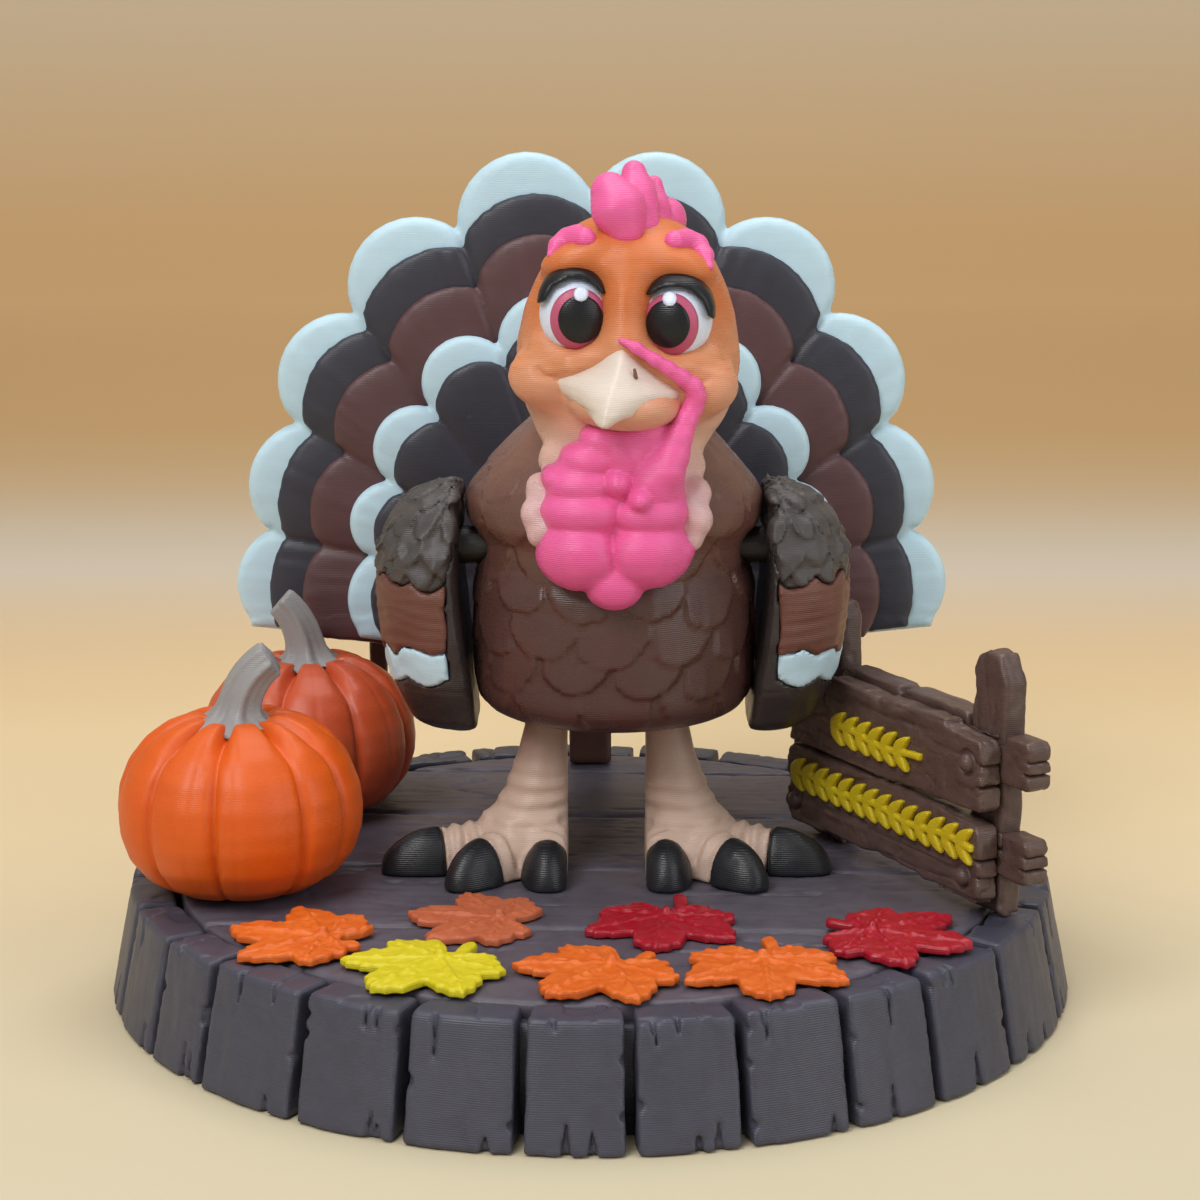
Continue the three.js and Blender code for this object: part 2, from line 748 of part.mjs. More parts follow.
function inlayZone(side, inward, upperEdge, lowerEdge) {
  const outline = new THREE.Shape([...upperEdge, ...lowerEdge.toReversed()]);
  const depth = wing.thickness - wing.inlayStart + overrun + inward;
  const geometry = new THREE.ExtrudeGeometry(outline, { depth, bevelEnabled: false });
  geometry.rotateX(Math.PI / 2);
  geometry.rotateZ(Math.PI / 2);
  geometry.translate(wing.inlayStart - inward, 0, 0);
  if (side < 0) geometry.scale(-1, 1, 1);
  return solidOf(geometry);
}

function topEdge() {
  const high = wing.rise + overrun;
  return [
    new THREE.Vector2(-wing.frontReach - overrun, high),
    new THREE.Vector2(wing.backReach + overrun, high),
  ];
}

function makeWing(side, label, group) {
  const blank = wingBlank(side);
  const half = fitGap / 2;
  const tuft = inlayZone(side, 0, topEdge(), waveEdge(wing.tuftEdgeDrop - half));
  const patch = inlayZone(side, 0, waveEdge(wing.tuftEdgeDrop + half), waveEdge(wing.patchEdgeDrop - half));
  const band = inlayZone(side, 0, waveEdge(wing.patchEdgeDrop + half), waveEdge(wing.bandEdgeDrop - half));
  const pocket = inlayZone(side, fitGap, topEdge(), waveEdge(wing.bandEdgeDrop + half));
  const socket = rodAlongX(
    shoulder.pegRadius + fitGap, -side * overrun, side * (shoulder.pegWingDepth + fitGap), 0, 0,
  );
  addPiece(group, `wing_${label}`, blank.subtract(pocket).subtract(socket), colours.wingDark);
  addPiece(group, `wing_${label}_tuft`, blank.intersect(tuft), colours.tuft);
  addPiece(group, `wing_${label}_patch`, blank.intersect(patch), colours.patch);
  addPiece(group, `wing_${label}_band`, blank.intersect(band), colours.white);
  const peg = rodAlongX(
    shoulder.pegRadius, -side * shoulder.pegBodyDepth, side * shoulder.pegWingDepth, 0, 0,
  );
  addPiece(group, `shoulder_peg_${label}`, peg, colours.wingDark);
}

function faceReach() {
  return body.radius + head.overhang;
}

// Head: measured from its seat on the body's top, turning about the group's own Z axis
function headLoft(gap) {
  const rings = headRingShares.map(([level, width, front, back], i) => {
    const frontReach = front * faceReach() + gap;
    const backReach = back * head.backReach + gap;
    const lift = i === 0 ? -gap : gap;
    const z = fitGap + level * head.height + (i === 0 || i === headRingShares.length - 1 ? lift : 0);
    const middle = (backReach - frontReach) / 2;
    const halfDepth = (backReach + frontReach) / 2;
    const x = head.sideOffset * level ** 0.5;
    return ellipseRing(20, x, middle, z, width * head.halfWidth + gap, halfDepth);
  });
  return solidOf(loft(rings));
}

function collarLoft(gap, inward = 0) {
  const rings = collarRings.map(({ dropShare, halfDegrees, throatShare }) => {
    const drop = dropShare * collar.drop;
    const seat = bodyRadiusAt(bodyTop() - drop) + runGap;
    const throat = body.radius + collar.throatProud;
    const reach = THREE.MathUtils.lerp(seat + collar.thickness, throat, throatShare) + gap;
    const spread = halfDegrees + THREE.MathUtils.radToDeg(gap / reach);
    const arc = Array.from({ length: 9 }, (_, i) => spread * (i / 4 - 1));
    const outer = arc.map((degrees) => {
      const bulge = 1 - (1 - seat / reach) * (degrees / spread) ** 4;
      const edge = Math.abs(degrees) === spread ? collar.edgeThickness : 0;
      return polar(degrees, reach * bulge + edge);
    });
    const inner = arc.toReversed().map((degrees) => polar(degrees, seat - inward));
    const low = dropShare === 1 ? gap : 0;
    return [...outer, ...inner].map(({ across, along }) => point(across, -along, fitGap - drop - low));
  });
  return solidOf(loft(rings));
}

// The head as a cutter, grown by a gap and filled in behind the collar
function headCutter() {
  return headLoft(fitGap).add(collarLoft(fitGap, body.neckBoreRadius));
}

function eyePlace(side) {
  return {
    x: head.sideOffset + side * eye.spread,
    y: eye.setback - faceReach(),
    z: eye.rise,
    rx: eye.halfWidth,
    ry: eye.depth,
    rz: eye.halfHeight,
  };
}

function lidSolid(side, gap) {
  const place = eyePlace(side);
  const whole = ellipsoidSolid(place, fitGap + eye.lidThickness + gap);
  const reach = eye.halfWidth + eye.halfHeight + overrun;
  const upper = boxSolid(
    point(place.x - reach, place.y - reach, place.z + eye.lidLevel - gap),
    point(place.x + reach, place.y + reach, place.z + reach),
  );
  return whole.intersect(upper);
}

function pupilZone(side, gap) {
  const place = eyePlace(side);
  const x = place.x - side * eye.pupilInset;
  const geometry = new THREE.CylinderGeometry(1, 1, 1, 16);
  const depth = eye.pupilDepth + gap + overrun;
  geometry.scale(eye.pupilHalfWidth + gap, depth, eye.pupilHalfHeight + gap);
  geometry.translate(x, place.y - eye.depth + eye.pupilDepth + gap - depth / 2, place.z);
  return solidOf(geometry);
}

function makeEyes(group) {
  [['left', -1], ['right', 1]].forEach(([label, side]) => {
    const ball = ellipsoidSolid(eyePlace(side));
    addPiece(group, `eye_${label}`, ball.subtract(pupilZone(side, fitGap)), colours.eyeWhite);
    addPiece(group, `pupil_${label}`, ball.intersect(pupilZone(side, 0)), colours.black);
    const lid = lidSolid(side, 0).subtract(ellipsoidSolid(eyePlace(side), fitGap));
    addPiece(group, `eyelid_${label}`, lid, colours.black);
  });
}

// A brow is a skin over the skull inside a tilted, flattened ball
function makeBrow(side, mass) {
  const geometry = new THREE.SphereGeometry(1, 12, 8);
  geometry.scale(brow.length / 2, brow.depth / 2, brow.height / 2);
  geometry.rotateY(THREE.MathUtils.degToRad(side * browTiltDegrees));
  geometry.translate(head.sideOffset + side * brow.spread, -brow.reach, brow.rise);
  const zone = solidOf(geometry);
  const skin = headLoft(fitGap + brow.thickness).intersect(zone);
  return [mass, lidSolid(side, fitGap), combSolid(fitGap)].reduce((rest, cut) => rest.subtract(cut), skin);
}

function beakSolid(gap) {
  const rings = beakRingShares.map(([along, scale], i) => {
    const last = i === beakRingShares.length - 1;
    const y = beak.setback - faceReach() + beak.sunk - along * (beak.length + beak.sunk) - (last ? gap : 0);
    const middle = beak.rise - along ** 3 * beak.tipDrop;
    const centre = beak.sideOffset - along ** 3 * beak.tipSwing;
    return beakSectionShares.map(([wide, high]) =>
      point(
        centre + wide * (beak.halfWidth * scale + gap), y,
        middle + high * (beak.halfHeight * scale + gap),
      ));
  });
  return solidOf(loft(rings));
}

function lobeSolid({ x, y, z }, { rx, ry, rz }, size, gap = 0) {
  return ellipsoidSolid({ x, y, z, rx: rx * size, ry: ry * size, rz: rz * size }, gap, 10, 7);
}

function combSolid(gap) {
  const size = head.height;
  return joined(combLobeShares.map(({ x, back, z, rx, ry, rz }) =>
    lobeSolid(point(x * size, back * size - faceReach(), z * size), { rx, ry, rz }, size, gap)));
}

function chestPlace({ x, out, z }) {
  return point(x * collar.drop, -body.radius - out * collar.drop, z * collar.drop);
}

function wattleLobe(shares) {
  return lobeSolid(chestPlace(shares), shares, collar.drop);
}

function snoodSolid() {
  const path = new THREE.CatmullRomCurve3(snoodPlaceShares.map(chestPlace));
  const rounding = evenDegrees(snood.sides).map((degrees) => flatPoint(degrees, snood.radius));
  const outline = new THREE.Shape(rounding);
  return solidOf(new THREE.ExtrudeGeometry(outline, { steps: snood.steps, extrudePath: path }));
}

function makeHead(group) {
  const grown = headCutter();
  const sockets = [-1, 1].flatMap((side) => [
    ellipsoidSolid(eyePlace(side), fitGap),
    lidSolid(side, fitGap),
  ]);
  const spigot = rodAlongZ(head.spigotRadius, runGap - body.neckBoreDepth, head.height / 2, 16);
  const whole = joined([headLoft(0), collarLoft(0), spigot]);
  const skull = sockets.reduce((rest, cut) => rest.subtract(cut), whole);
  addPiece(group, 'head', skull, colours.head);
  addPiece(group, 'beak', beakSolid(0).subtract(grown), colours.beak);
  makeEyes(group);
  [['left', -1], ['right', 1]].forEach(([label, side]) => {
    addPiece(group, `brow_${label}`, makeBrow(side, grown), colours.pink);
  });
  addPiece(group, 'comb', combSolid(0).subtract(grown), colours.pink);
  const lumps = joined([...wattleLobeShares.map(wattleLobe), snoodSolid()]);
  addPiece(group, 'wattle', lumps.subtract(grown).subtract(beakSolid(fitGap)), colours.pink);
}

// Tail fan: layered plates with scalloped edges
function arcThrough(start, middle, end, steps) {
  const chord = end.clone().sub(start);
  const half = chord.length() / 2;
  const centre = start.clone().add(end).multiplyScalar(0.5);
  const rise = middle.clone().sub(centre).length();
  const radius = (half * half + rise * rise) / (2 * rise);
  const outward = middle.clone().sub(centre).normalize();
  const hub = centre.clone().addScaledVector(outward, rise - radius);
  const angleOf = (p) => Math.atan2(p.y - hub.y, p.x - hub.x);
  const from = angleOf(start);
  let sweep = angleOf(end) - from;
  while (sweep > 0) sweep -= 2 * Math.PI;
  return Array.from({ length: steps }, (_, i) => {
    const angle = from + (sweep * i) / steps;
    return new THREE.Vector2(hub.x + radius * Math.cos(angle), hub.y + radius * Math.sin(angle));
  });
}

function fanPoint(degrees, share) {
  return flatPoint(degrees, share * fan.radius);
}

function fanOutline({ peaks, notches, end, endDegrees }) {
  const half = lobeDegrees.flatMap((degrees, i) => {
    const notch = i === 0 ? 0 : (lobeDegrees[i - 1] + degrees) / 2;
    const start = fanPoint(notch, notches[i]);
    const last = i === lobeDegrees.length - 1;
    const stop = last
      ? fanPoint(endDegrees, end)
      : fanPoint((degrees + lobeDegrees[i + 1]) / 2, notches[i + 1]);
    const peakDegrees = last ? (notch + endDegrees) / 2 : degrees;
    const arc = arcThrough(start, fanPoint(peakDegrees, peaks[i]), stop, lobeSteps);
    return last ? [...arc, stop] : arc;
  });
  const bottom = new THREE.Vector2(0, fan.bottomHeight - fan.centreHeight);
  const left = half.slice(1).reverse().map((p) => new THREE.Vector2(-p.x, p.y));
  return new THREE.Shape([...half, bottom, ...left]);
}

function makeFanPlate(tier, backPlane, thickness) {
  const geometry = new THREE.ExtrudeGeometry(fanOutline(tier), { depth: thickness, bevelEnabled: false });
  geometry.rotateX(Math.PI / 2);
  geometry.translate(0, backPlane, fan.centreHeight);
  return closedShape(geometry);
}

function fanFront() {
  return fan.backPlane - fan.tipThickness - 4 * (fan.layerThickness + layGap);
}

function makeFan(group) {
  const layers = [
    ['fan_large_tips', tierShares.largeTips, colours.white, fan.tipThickness],
    ['fan_large_dark', tierShares.largeDark, colours.dark, fan.layerThickness],
    ['fan_large_brown', tierShares.largeBrown, colours.maroon, fan.layerThickness],
    ['fan_small_tips', tierShares.smallTips, colours.white, fan.layerThickness],
    ['fan_small_dark', tierShares.smallDark, colours.dark, fan.layerThickness],
  ];
  let backPlane = fan.backPlane;
  layers.forEach(([name, tier, colour, thickness]) => {
    addPiece(group, name, makeFanPlate(tier, backPlane, thickness), colour);
    backPlane -= thickness + layGap;
  });
}

function makeStand() {
  const near = fan.backPlane + layGap;
  const rail = boxSolid(
    point(-stand.sideSpread - stand.sideWidth / 2, near, stand.railLevel),
    point(stand.sideSpread + stand.sideWidth / 2, near + stand.sideDepth, stand.railLevel + stand.railHeight),
  );
  const centreFace = deckRadius() - stand.edgeSetback - stand.centreDepth;
  const sides = [-1, 1].map((side) => boxSolid(
    point(side * stand.sideSpread - stand.sideWidth / 2, near, layGap),
    point(side * stand.sideSpread + stand.sideWidth / 2, near + stand.sideDepth, stand.railLevel + overrun),
  ));
  const centre = boxSolid(
    point(-stand.centreWidth / 2, centreFace, layGap),
    point(stand.centreWidth / 2, centreFace + stand.centreDepth, stand.railLevel + stand.armHeight),
  );
  const arm = boxSolid(
    point(-stand.centreWidth / 2, near, stand.railLevel),
    point(stand.centreWidth / 2, centreFace + stand.centreDepth / 2, stand.railLevel + stand.armHeight),
  );
  return joined([rail, ...sides, centre, arm]);
}

// Pumpkins: ribbed bodies with a curved, fluted stem in the top hollow
function makePumpkin({ radius, height }) {
  const rings = pumpkinProfileShares.map(([level, share]) => {
    const valley = 1 - pumpkinRibDepthShare;
    return evenDegrees(3 * pumpkinRibCount).map((degrees, i) => {
      const { across, along } = polar(degrees, radius * share * (i % 3 === 0 ? valley : 1));
      return point(across, -along, level * height);
    });
  });
  return loft(rings);
}

function makeStem({ height, stemRise, stemSwing }) {
  const seat = height * pumpkinProfileShares.at(-1)[0] + fitGap;
  const path = new THREE.QuadraticBezierCurve3(
    point(0, 0, seat), point(0, 0, height + stemRise / 2), point(stemSwing, 0, height + stemRise),
  );
  const rings = Array.from({ length: stem.steps + 1 }, (_, i) => {
    const along = i / stem.steps;
    const middle = path.getPoint(along);
    const tangent = path.getTangent(along);
    const side = point(tangent.z, 0, -tangent.x).normalize();
    const radius = i === 0 ? stem.neckRadius : THREE.MathUtils.lerp(stem.neckRadius, stem.tipRadius, along);
    return evenDegrees(2 * stem.flutes).map((degrees, k) => {
      const reach = radius * (k % 2 === 0 ? 1 : 1 - stem.fluteShare);
      const { across, along: depth } = polar(degrees, reach);
      return middle.clone().addScaledVector(side, across).add(point(0, depth, 0));
    });
  });
  return loft(rings);
}

function makePumpkins(group) {
  Object.entries(pumpkins).forEach(([label, pumpkin]) => {
    const { x, y } = pumpkinPlaceShares[label];
    const spot = new THREE.Group();
    spot.position.set(x * base.footRadius, y * base.footRadius, base.rimHeight + layGap);
    addPiece(spot, `pumpkin_${label}`, makePumpkin(pumpkin), colours[pumpkin.hue]);
    addPiece(spot, `stem_${label}`, makeStem(pumpkin), colours.stem);
    group.add(spot);
  });
}

// Leaves: flat maple leaves that lie on the deck or across the rim
function makeLeaf({ size }) {
  const right = leafHalfShares.map(([degrees, share]) => flatPoint(degrees, share * size * leafReach));
  const left = right.slice(1).reverse().map((p) => new THREE.Vector2(-p.x, p.y));
  const outline = new THREE.Shape([...right, ...left]);
  return closedShape(new THREE.ExtrudeGeometry(outline, { depth: leafThickness, bevelEnabled: false }));
}

function makeLeaves(group) {
  leafShares.forEach((leaf, i) => {
    const mesh = addPiece(group, `leaf_${i + 1}`, makeLeaf(leaf), colours[leaf.hue]);
    const seat = leaf.onRim ? base.rimHeight : base.deckHeight;
    mesh.position.set(leaf.x * deckRadius(), leaf.y * deckRadius(), seat + layGap);
    mesh.rotation.z = THREE.MathUtils.degToRad(leaf.turn);
  });
}

// Sign: two boards on a frame of posts and rails that are halved into each other
function postBox(place, top, bottom) {
  return boxSolid(
    point(place - sign.postWidth / 2, fitGap, bottom),
    point(place + sign.postWidth / 2, fitGap + sign.frameThickness, top),
  );
}

function postZone(place, gap) {
  const reach = sign.postWidth / 2 + gap;
  return boxSolid(
    point(place - reach, fitGap + sign.frameThickness / 2 - gap, -overrun),
    point(place + reach, fitGap + sign.frameThickness + overrun, sign.rightPostTop + overrun),
  );
}

function railSpan() {
  return {
    from: sign.leftPostPlace - sign.postWidth / 2 - sign.leftStub,
    to: sign.rightPostPlace + sign.postWidth / 2 + sign.rightStub,
  };
}

function railZone(level, gap) {
  const { from, to } = railSpan();
  return boxSolid(
    point(from - overrun, -overrun, level - gap),
    point(to + overrun, fitGap + sign.frameThickness / 2 + gap, level + sign.railHeight + gap),
  );
}

function makePost(place, top, bottom) {
  const levels = [sign.upperRailLevel, sign.lowerRailLevel];
  const halfDiagonal = sign.postWidth * Math.SQRT1_2;
  const trimmed = [-1, 1].reduce((post, side) => {
    const slope = new THREE.BoxGeometry(sign.postWidth, 2 * sign.postWidth, sign.postWidth);
    slope.rotateY(Math.PI / 4);
    slope.translate(place + (side * sign.postWidth) / 2, 0, top + halfDiagonal - sign.postChamfer);
    return post.subtract(solidOf(slope));
  }, postBox(place, top, bottom));
  return levels.reduce((post, level) => post.subtract(railZone(level, fitGap / 2)), trimmed);
}

function makeRail(level) {
  const { from, to } = railSpan();
  const blank = boxSolid(
    point(from, fitGap, level),
    point(to, fitGap + sign.frameThickness, level + sign.railHeight),
  );
  const places = [sign.leftPostPlace, sign.rightPostPlace];
  return places.reduce((rail, place) => rail.subtract(postZone(place, fitGap / 2)), blank);
}

// The upper rail carries a row of blocks between the posts
function makeBlockRail() {
  const level = sign.upperRailLevel + sign.railHeight;
  const from = sign.leftPostPlace + sign.postWidth / 2 + fitGap;
  const span = sign.rightPostPlace - sign.postWidth / 2 - fitGap - from;
  const blocks = Array.from({ length: sign.blockCount }, (_, i) => boxSolid(
    point(from + (span * i) / sign.blockCount, fitGap, level - overrun),
    point(
      from + (span * (i + 1)) / sign.blockCount - sign.blockNotch,
      fitGap + sign.frameThickness, level + sign.blockRise,
    ),
  ));
  return joined([makeRail(sign.upperRailLevel), ...blocks]);
}

function makeBoard(shares, { start, end, low, high }) {
  const inset = sign.boardBevel;
  const length = end - start - 2 * inset;
  const height = high - low - 2 * inset;
  const outline = new THREE.Shape(shares.map(([along, up]) =>
    new THREE.Vector2(start + inset + along * length, low + inset + up * height)));
  const geometry = new THREE.ExtrudeGeometry(outline, {
    depth: sign.boardThickness - 2 * inset,
    bevelThickness: inset,
    bevelSize: inset,
    bevelSegments: 1,
  });
  geometry.rotateX(Math.PI / 2);
  geometry.translate(0, -inset, 0);
  return closedShape(geometry);
}

function grainSolid(x, z, degrees) {
  const outline = new THREE.Shape(grainShares.map(([along, wide]) =>
    new THREE.Vector2((along * sprig.grainLength) / 2, wide * sprig.grainHalfWidth)));
  const geometry = new THREE.ExtrudeGeometry(outline, { depth: sign.sprigRaise, bevelEnabled: false });
  geometry.rotateZ(THREE.MathUtils.degToRad(degrees));
  geometry.rotateX(Math.PI / 2);
  geometry.translate(x, 0, z);
  return solidOf(geometry);
}

function makeSprig({ sprigStart, sprigEnd, sprigLevel: middle }) {
  const stalk = boxSolid(
    point(sprigStart, -sign.sprigRaise, middle - sprig.stalkHeight / 2),
    point(sprigEnd, 0, middle + sprig.stalkHeight / 2),
  );
  const count = Math.floor((sprigEnd - sprigStart) / sprig.grainPitch);
  const tilt = THREE.MathUtils.degToRad(sprig.tiltDegrees);
  const rise = (sprig.grainLength / 2) * Math.sin(tilt);
  const grains = Array.from({ length: count }, (_, i) => sprigStart + (i + 0.5) * sprig.grainPitch)
    .flatMap((x) => [-1, 1].map((side) => grainSolid(x, middle + side * rise, side * sprig.tiltDegrees)));
  const sprigSolid = joined([stalk, ...grains]);
  return sprigSolid.translate([0, -sign.boardThickness - layGap, 0]);
}

function makeSign(group) {
  const spot = new THREE.Group();
  const x = turkeyShift + wingReach() + wing.thickness + sign.wingClearance;
  spot.position.set(x, signBackShare * base.footRadius, base.deckHeight);
  spot.rotation.z = THREE.MathUtils.degToRad(signTurnDegrees);
  const rimSeat = base.rimHeight - base.deckHeight + layGap;
  const leftPost = makePost(sign.leftPostPlace, sign.leftPostTop, layGap);
  const rightPost = makePost(sign.rightPostPlace, sign.rightPostTop, rimSeat);
  addPiece(spot, 'sign_post_left', leftPost, colours.wood);
  addPiece(spot, 'sign_post_right', rightPost, colours.wood);
  addPiece(spot, 'sign_rail_upper', makeBlockRail(), colours.wood);
  addPiece(spot, 'sign_rail_lower', makeRail(sign.lowerRailLevel), colours.wood);
  Object.entries(boards).forEach(([label, board]) => {
    addPiece(spot, `sign_board_${label}`, makeBoard(boardShares[label], board), colours.wood);
    addPiece(spot, `sign_sprig_${label}`, makeSprig(board), colours.gold);
  });
  group.add(spot);
}

function makeTurkey(group) {
  const spot = new THREE.Group();
  spot.position.set(turkeyShift, 0, base.deckHeight);
  addPiece(spot, 'body', makeBody(), colours.bodyBrown);
  const peg = rodAlongY(
    tailPeg.radius, bodyBackAt(tailPeg.height) - tailPeg.bodyDepth, fanFront() - layGap, 0, tailPeg.height,
  );
  addPiece(spot, 'tail_peg', peg, colours.bodyBrown);
  const feet = new THREE.Group();
  feet.position.set(leg.footShift, 0, layGap);
  [['left', -1], ['right', 1]].forEach(([label, side]) => {
    addPiece(feet, `leg_${label}`, makeLeg(side), colours.skin);
    Object.entries(toeShares).forEach(([toeName, place]) => {
      addPiece(feet, `nail_${label}_${toeName}`, makeNail(side, place, 0), colours.nail);
    });
    const hanger = new THREE.Group();
    hanger.position.set(side * wingReach(), 0, shoulder.height);
    makeWing(side, label, hanger);
    spot.add(hanger);
  });
  spot.add(feet);
  const neck = new THREE.Group();
  neck.position.set(0, 0, bodyTop());
  makeHead(neck);
  spot.add(neck);
  group.add(spot);
}

function makeFigure() {
  const figure = new THREE.Group();
  addPiece(figure, 'base_rim', makeRim(), colours.taupe);
  addPiece(figure, 'base_deck', makeDeck(), colours.taupe);
  makeTurkey(figure);
  const tail = new THREE.Group();
  tail.position.set(0, 0, base.deckHeight);
  makeFan(tail);
  addPiece(tail, 'fan_stand', makeStand(), colours.standBrown);
  figure.add(tail);
  makePumpkins(figure);
  makeLeaves(figure);
  makeSign(figure);
  return figure;
}

export default makeFigure();
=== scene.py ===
"""Looks for the printed turkey figure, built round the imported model. Lengths here are millimetres
until a mesh is stored, which is in metres."""

import functools
import itertools
import math

import bpy
import numpy as np
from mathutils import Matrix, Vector


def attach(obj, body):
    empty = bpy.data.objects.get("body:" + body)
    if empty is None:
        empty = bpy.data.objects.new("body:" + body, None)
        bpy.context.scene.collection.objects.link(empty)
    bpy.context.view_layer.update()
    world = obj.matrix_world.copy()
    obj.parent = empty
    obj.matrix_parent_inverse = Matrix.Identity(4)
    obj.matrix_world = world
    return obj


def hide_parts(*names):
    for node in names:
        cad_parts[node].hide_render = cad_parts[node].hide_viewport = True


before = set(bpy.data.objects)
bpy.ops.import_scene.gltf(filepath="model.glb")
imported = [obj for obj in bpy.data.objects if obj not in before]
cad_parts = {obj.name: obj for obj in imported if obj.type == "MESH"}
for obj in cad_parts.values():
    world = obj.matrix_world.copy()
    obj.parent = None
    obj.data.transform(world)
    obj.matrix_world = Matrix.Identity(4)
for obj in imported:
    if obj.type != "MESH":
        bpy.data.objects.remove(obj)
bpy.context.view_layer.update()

MM = 0.001
SIDES = {"left": -1, "right": 1}


# Noise
HASH_STEPS = (374761393, 668265263, 1442695041, 974711)
HASH_MIX = 1274126177
HASH_BITS = 0xFFFFFFFF


def lattice(*numbers):
    """A random value from -1 to 1 for each x, y, z and seed, all whole numbers."""
    h = sum(n * step for n, step in zip(numbers, HASH_STEPS)) & HASH_BITS
    h = ((h ^ (h >> 13)) * HASH_MIX) & HASH_BITS
    return ((h ^ (h >> 16)) & 0xFFFF) / 32767.5 - 1


def noise(x, y, z, size, seed=0):
    """Smooth noise from -1 to 1 with features about size across."""
    places = np.broadcast_arrays(x / size, y / size, z / size)
    cells = [np.floor(a).astype(np.int64) for a in places]
    shares = [a - cell for a, cell in zip(places, cells)]
    shares = [a * a * (3 - 2 * a) for a in shares]
    weights = [(1 - a, a) for a in shares]
    total = 0
    for i, j, k in itertools.product((0, 1), repeat=3):
        weight = weights[0][i] * weights[1][j] * weights[2][k]
        total = total + weight * lattice(cells[0] + i, cells[1] + j, cells[2] + k, seed)
    return total


def bell(distance, width):
    """A bump that is 1 at no distance and fades over the width."""
    return np.exp(-(distance / width) ** 2)


# Fields: distances to a surface, negative inside
def smin(a, b, k):
    h = np.clip(0.5 + 0.5 * (b - a) / k, 0, 1)
    return b * (1 - h) + a * h - k * h * (1 - h)


def smax(a, b, k):
    return -smin(-a, -b, k)


def union(fields, k):
    return functools.reduce(lambda a, b: smin(a, b, k), fields)


def samples(low, high, step):
    """Sample places along x, y and z with a margin of two steps, and the same as arrays that broadcast."""
    steps = step if hasattr(step, "__len__") else (step,) * 3
    grid = [np.arange(a - 2 * s, b + 2.01 * s, s) for a, b, s in zip(low, high, steps)]
    return grid, np.ix_(*grid)


def smoothed(levels, values, at, passes=8, steps=160):
    """Values over levels as a smooth curve, looked up at the given places."""
    fine = np.linspace(levels[0], levels[-1], steps)
    curve = np.interp(fine, levels, values)
    for _ in range(passes):
        curve[1:-1] = (curve[:-2] + 2 * curve[1:-1] + curve[2:]) / 4
    return np.interp(at, fine, curve)


def turn_matrix(*degrees):
    """Rotation by degrees about x, then y, then z."""
    matrix = np.eye(3)
    for axis, turn in enumerate(degrees):
        cos, sin = math.cos(math.radians(turn)), math.sin(math.radians(turn))
        i, j = (axis + 1) % 3, (axis + 2) % 3
        step = np.eye(3)
        step[[i, j], [i, j]] = cos
        step[[j, i], [i, j]] = sin, -sin
        matrix = step @ matrix
    return matrix


def local(places, origin, matrix=None):
    """Places seen from an origin, turned back by matrix."""
    q = [p - o for p, o in zip(places, origin)]
    if matrix is None:
        return q
    return [matrix[0, i] * q[0] + matrix[1, i] * q[1] + matrix[2, i] * q[2] for i in range(3)]


def ellipsoid(places, centre, radii, matrix=None):
    q = local(places, centre, matrix)
    k0 = np.sqrt(sum((a / r) ** 2 for a, r in zip(q, radii)))
    k1 = np.sqrt(sum((a / r ** 2) ** 2 for a, r in zip(q, radii)))
    return k0 * (k0 - 1) / np.maximum(k1, 1e-9)


def cone(places, a, b, ra=0.0, rb=0.0):
    """Rounded cone from a to b, in space or in a plane."""
    q = local(places, a)
    d = [v - u for u, v in zip(a, b)]
    t = np.clip(sum(p * v for p, v in zip(q, d)) / sum(v * v for v in d), 0, 1)
    gap = np.sqrt(sum((p - t * v) ** 2 for p, v in zip(q, d)))
    return gap - (ra + (rb - ra) * t)


def tube(places, path, radii, k):
    cones = [cone(places, *ends, *sizes) for ends, sizes in zip(zip(path, path[1:]), zip(radii, radii[1:]))]
    return union(cones, k)


def rod(a, b, radius):
    """An endless round bar, from the two distances across it."""
    return np.sqrt(a ** 2 + b ** 2) - radius


def block(places, centre, half, rounding):
    q = [np.abs(a) - (h - rounding) for a, h in zip(local(places, centre), half)]
    outside = np.sqrt(sum(np.maximum(a, 0) ** 2 for a in q))
    inside = np.minimum(np.maximum(np.maximum(q[0], q[1]), q[2]), 0)
    return outside + inside - rounding


def polygon_distance(u, v, points):
    """Signed distance to a closed outline in a plane."""
    u, v = np.broadcast_arrays(u, v)
    best = np.full(u.shape, 1e9)
    inside = np.zeros(u.shape, bool)
    for (ax, ay), (bx, by) in zip(points, [*points[1:], points[0]]):
        ex, ey = bx - ax, by - ay
        px, py = u - ax, v - ay
        t = np.clip((px * ex + py * ey) / max(ex * ex + ey * ey, 1e-12), 0, 1)
        best = np.minimum(best, (px - t * ex) ** 2 + (py - t * ey) ** 2)
        if ey:
            inside ^= ((ay > v) != (by > v)) & (u < ex * py / ey + ax)
    return np.where(inside, -1, 1) * np.sqrt(best)


# Meshes
EDGE_LEVEL = 1e-3
LEAST_LEVEL = 1e-6
OTHER_AXES = [[1, 2], [0, 2], [0, 1]]


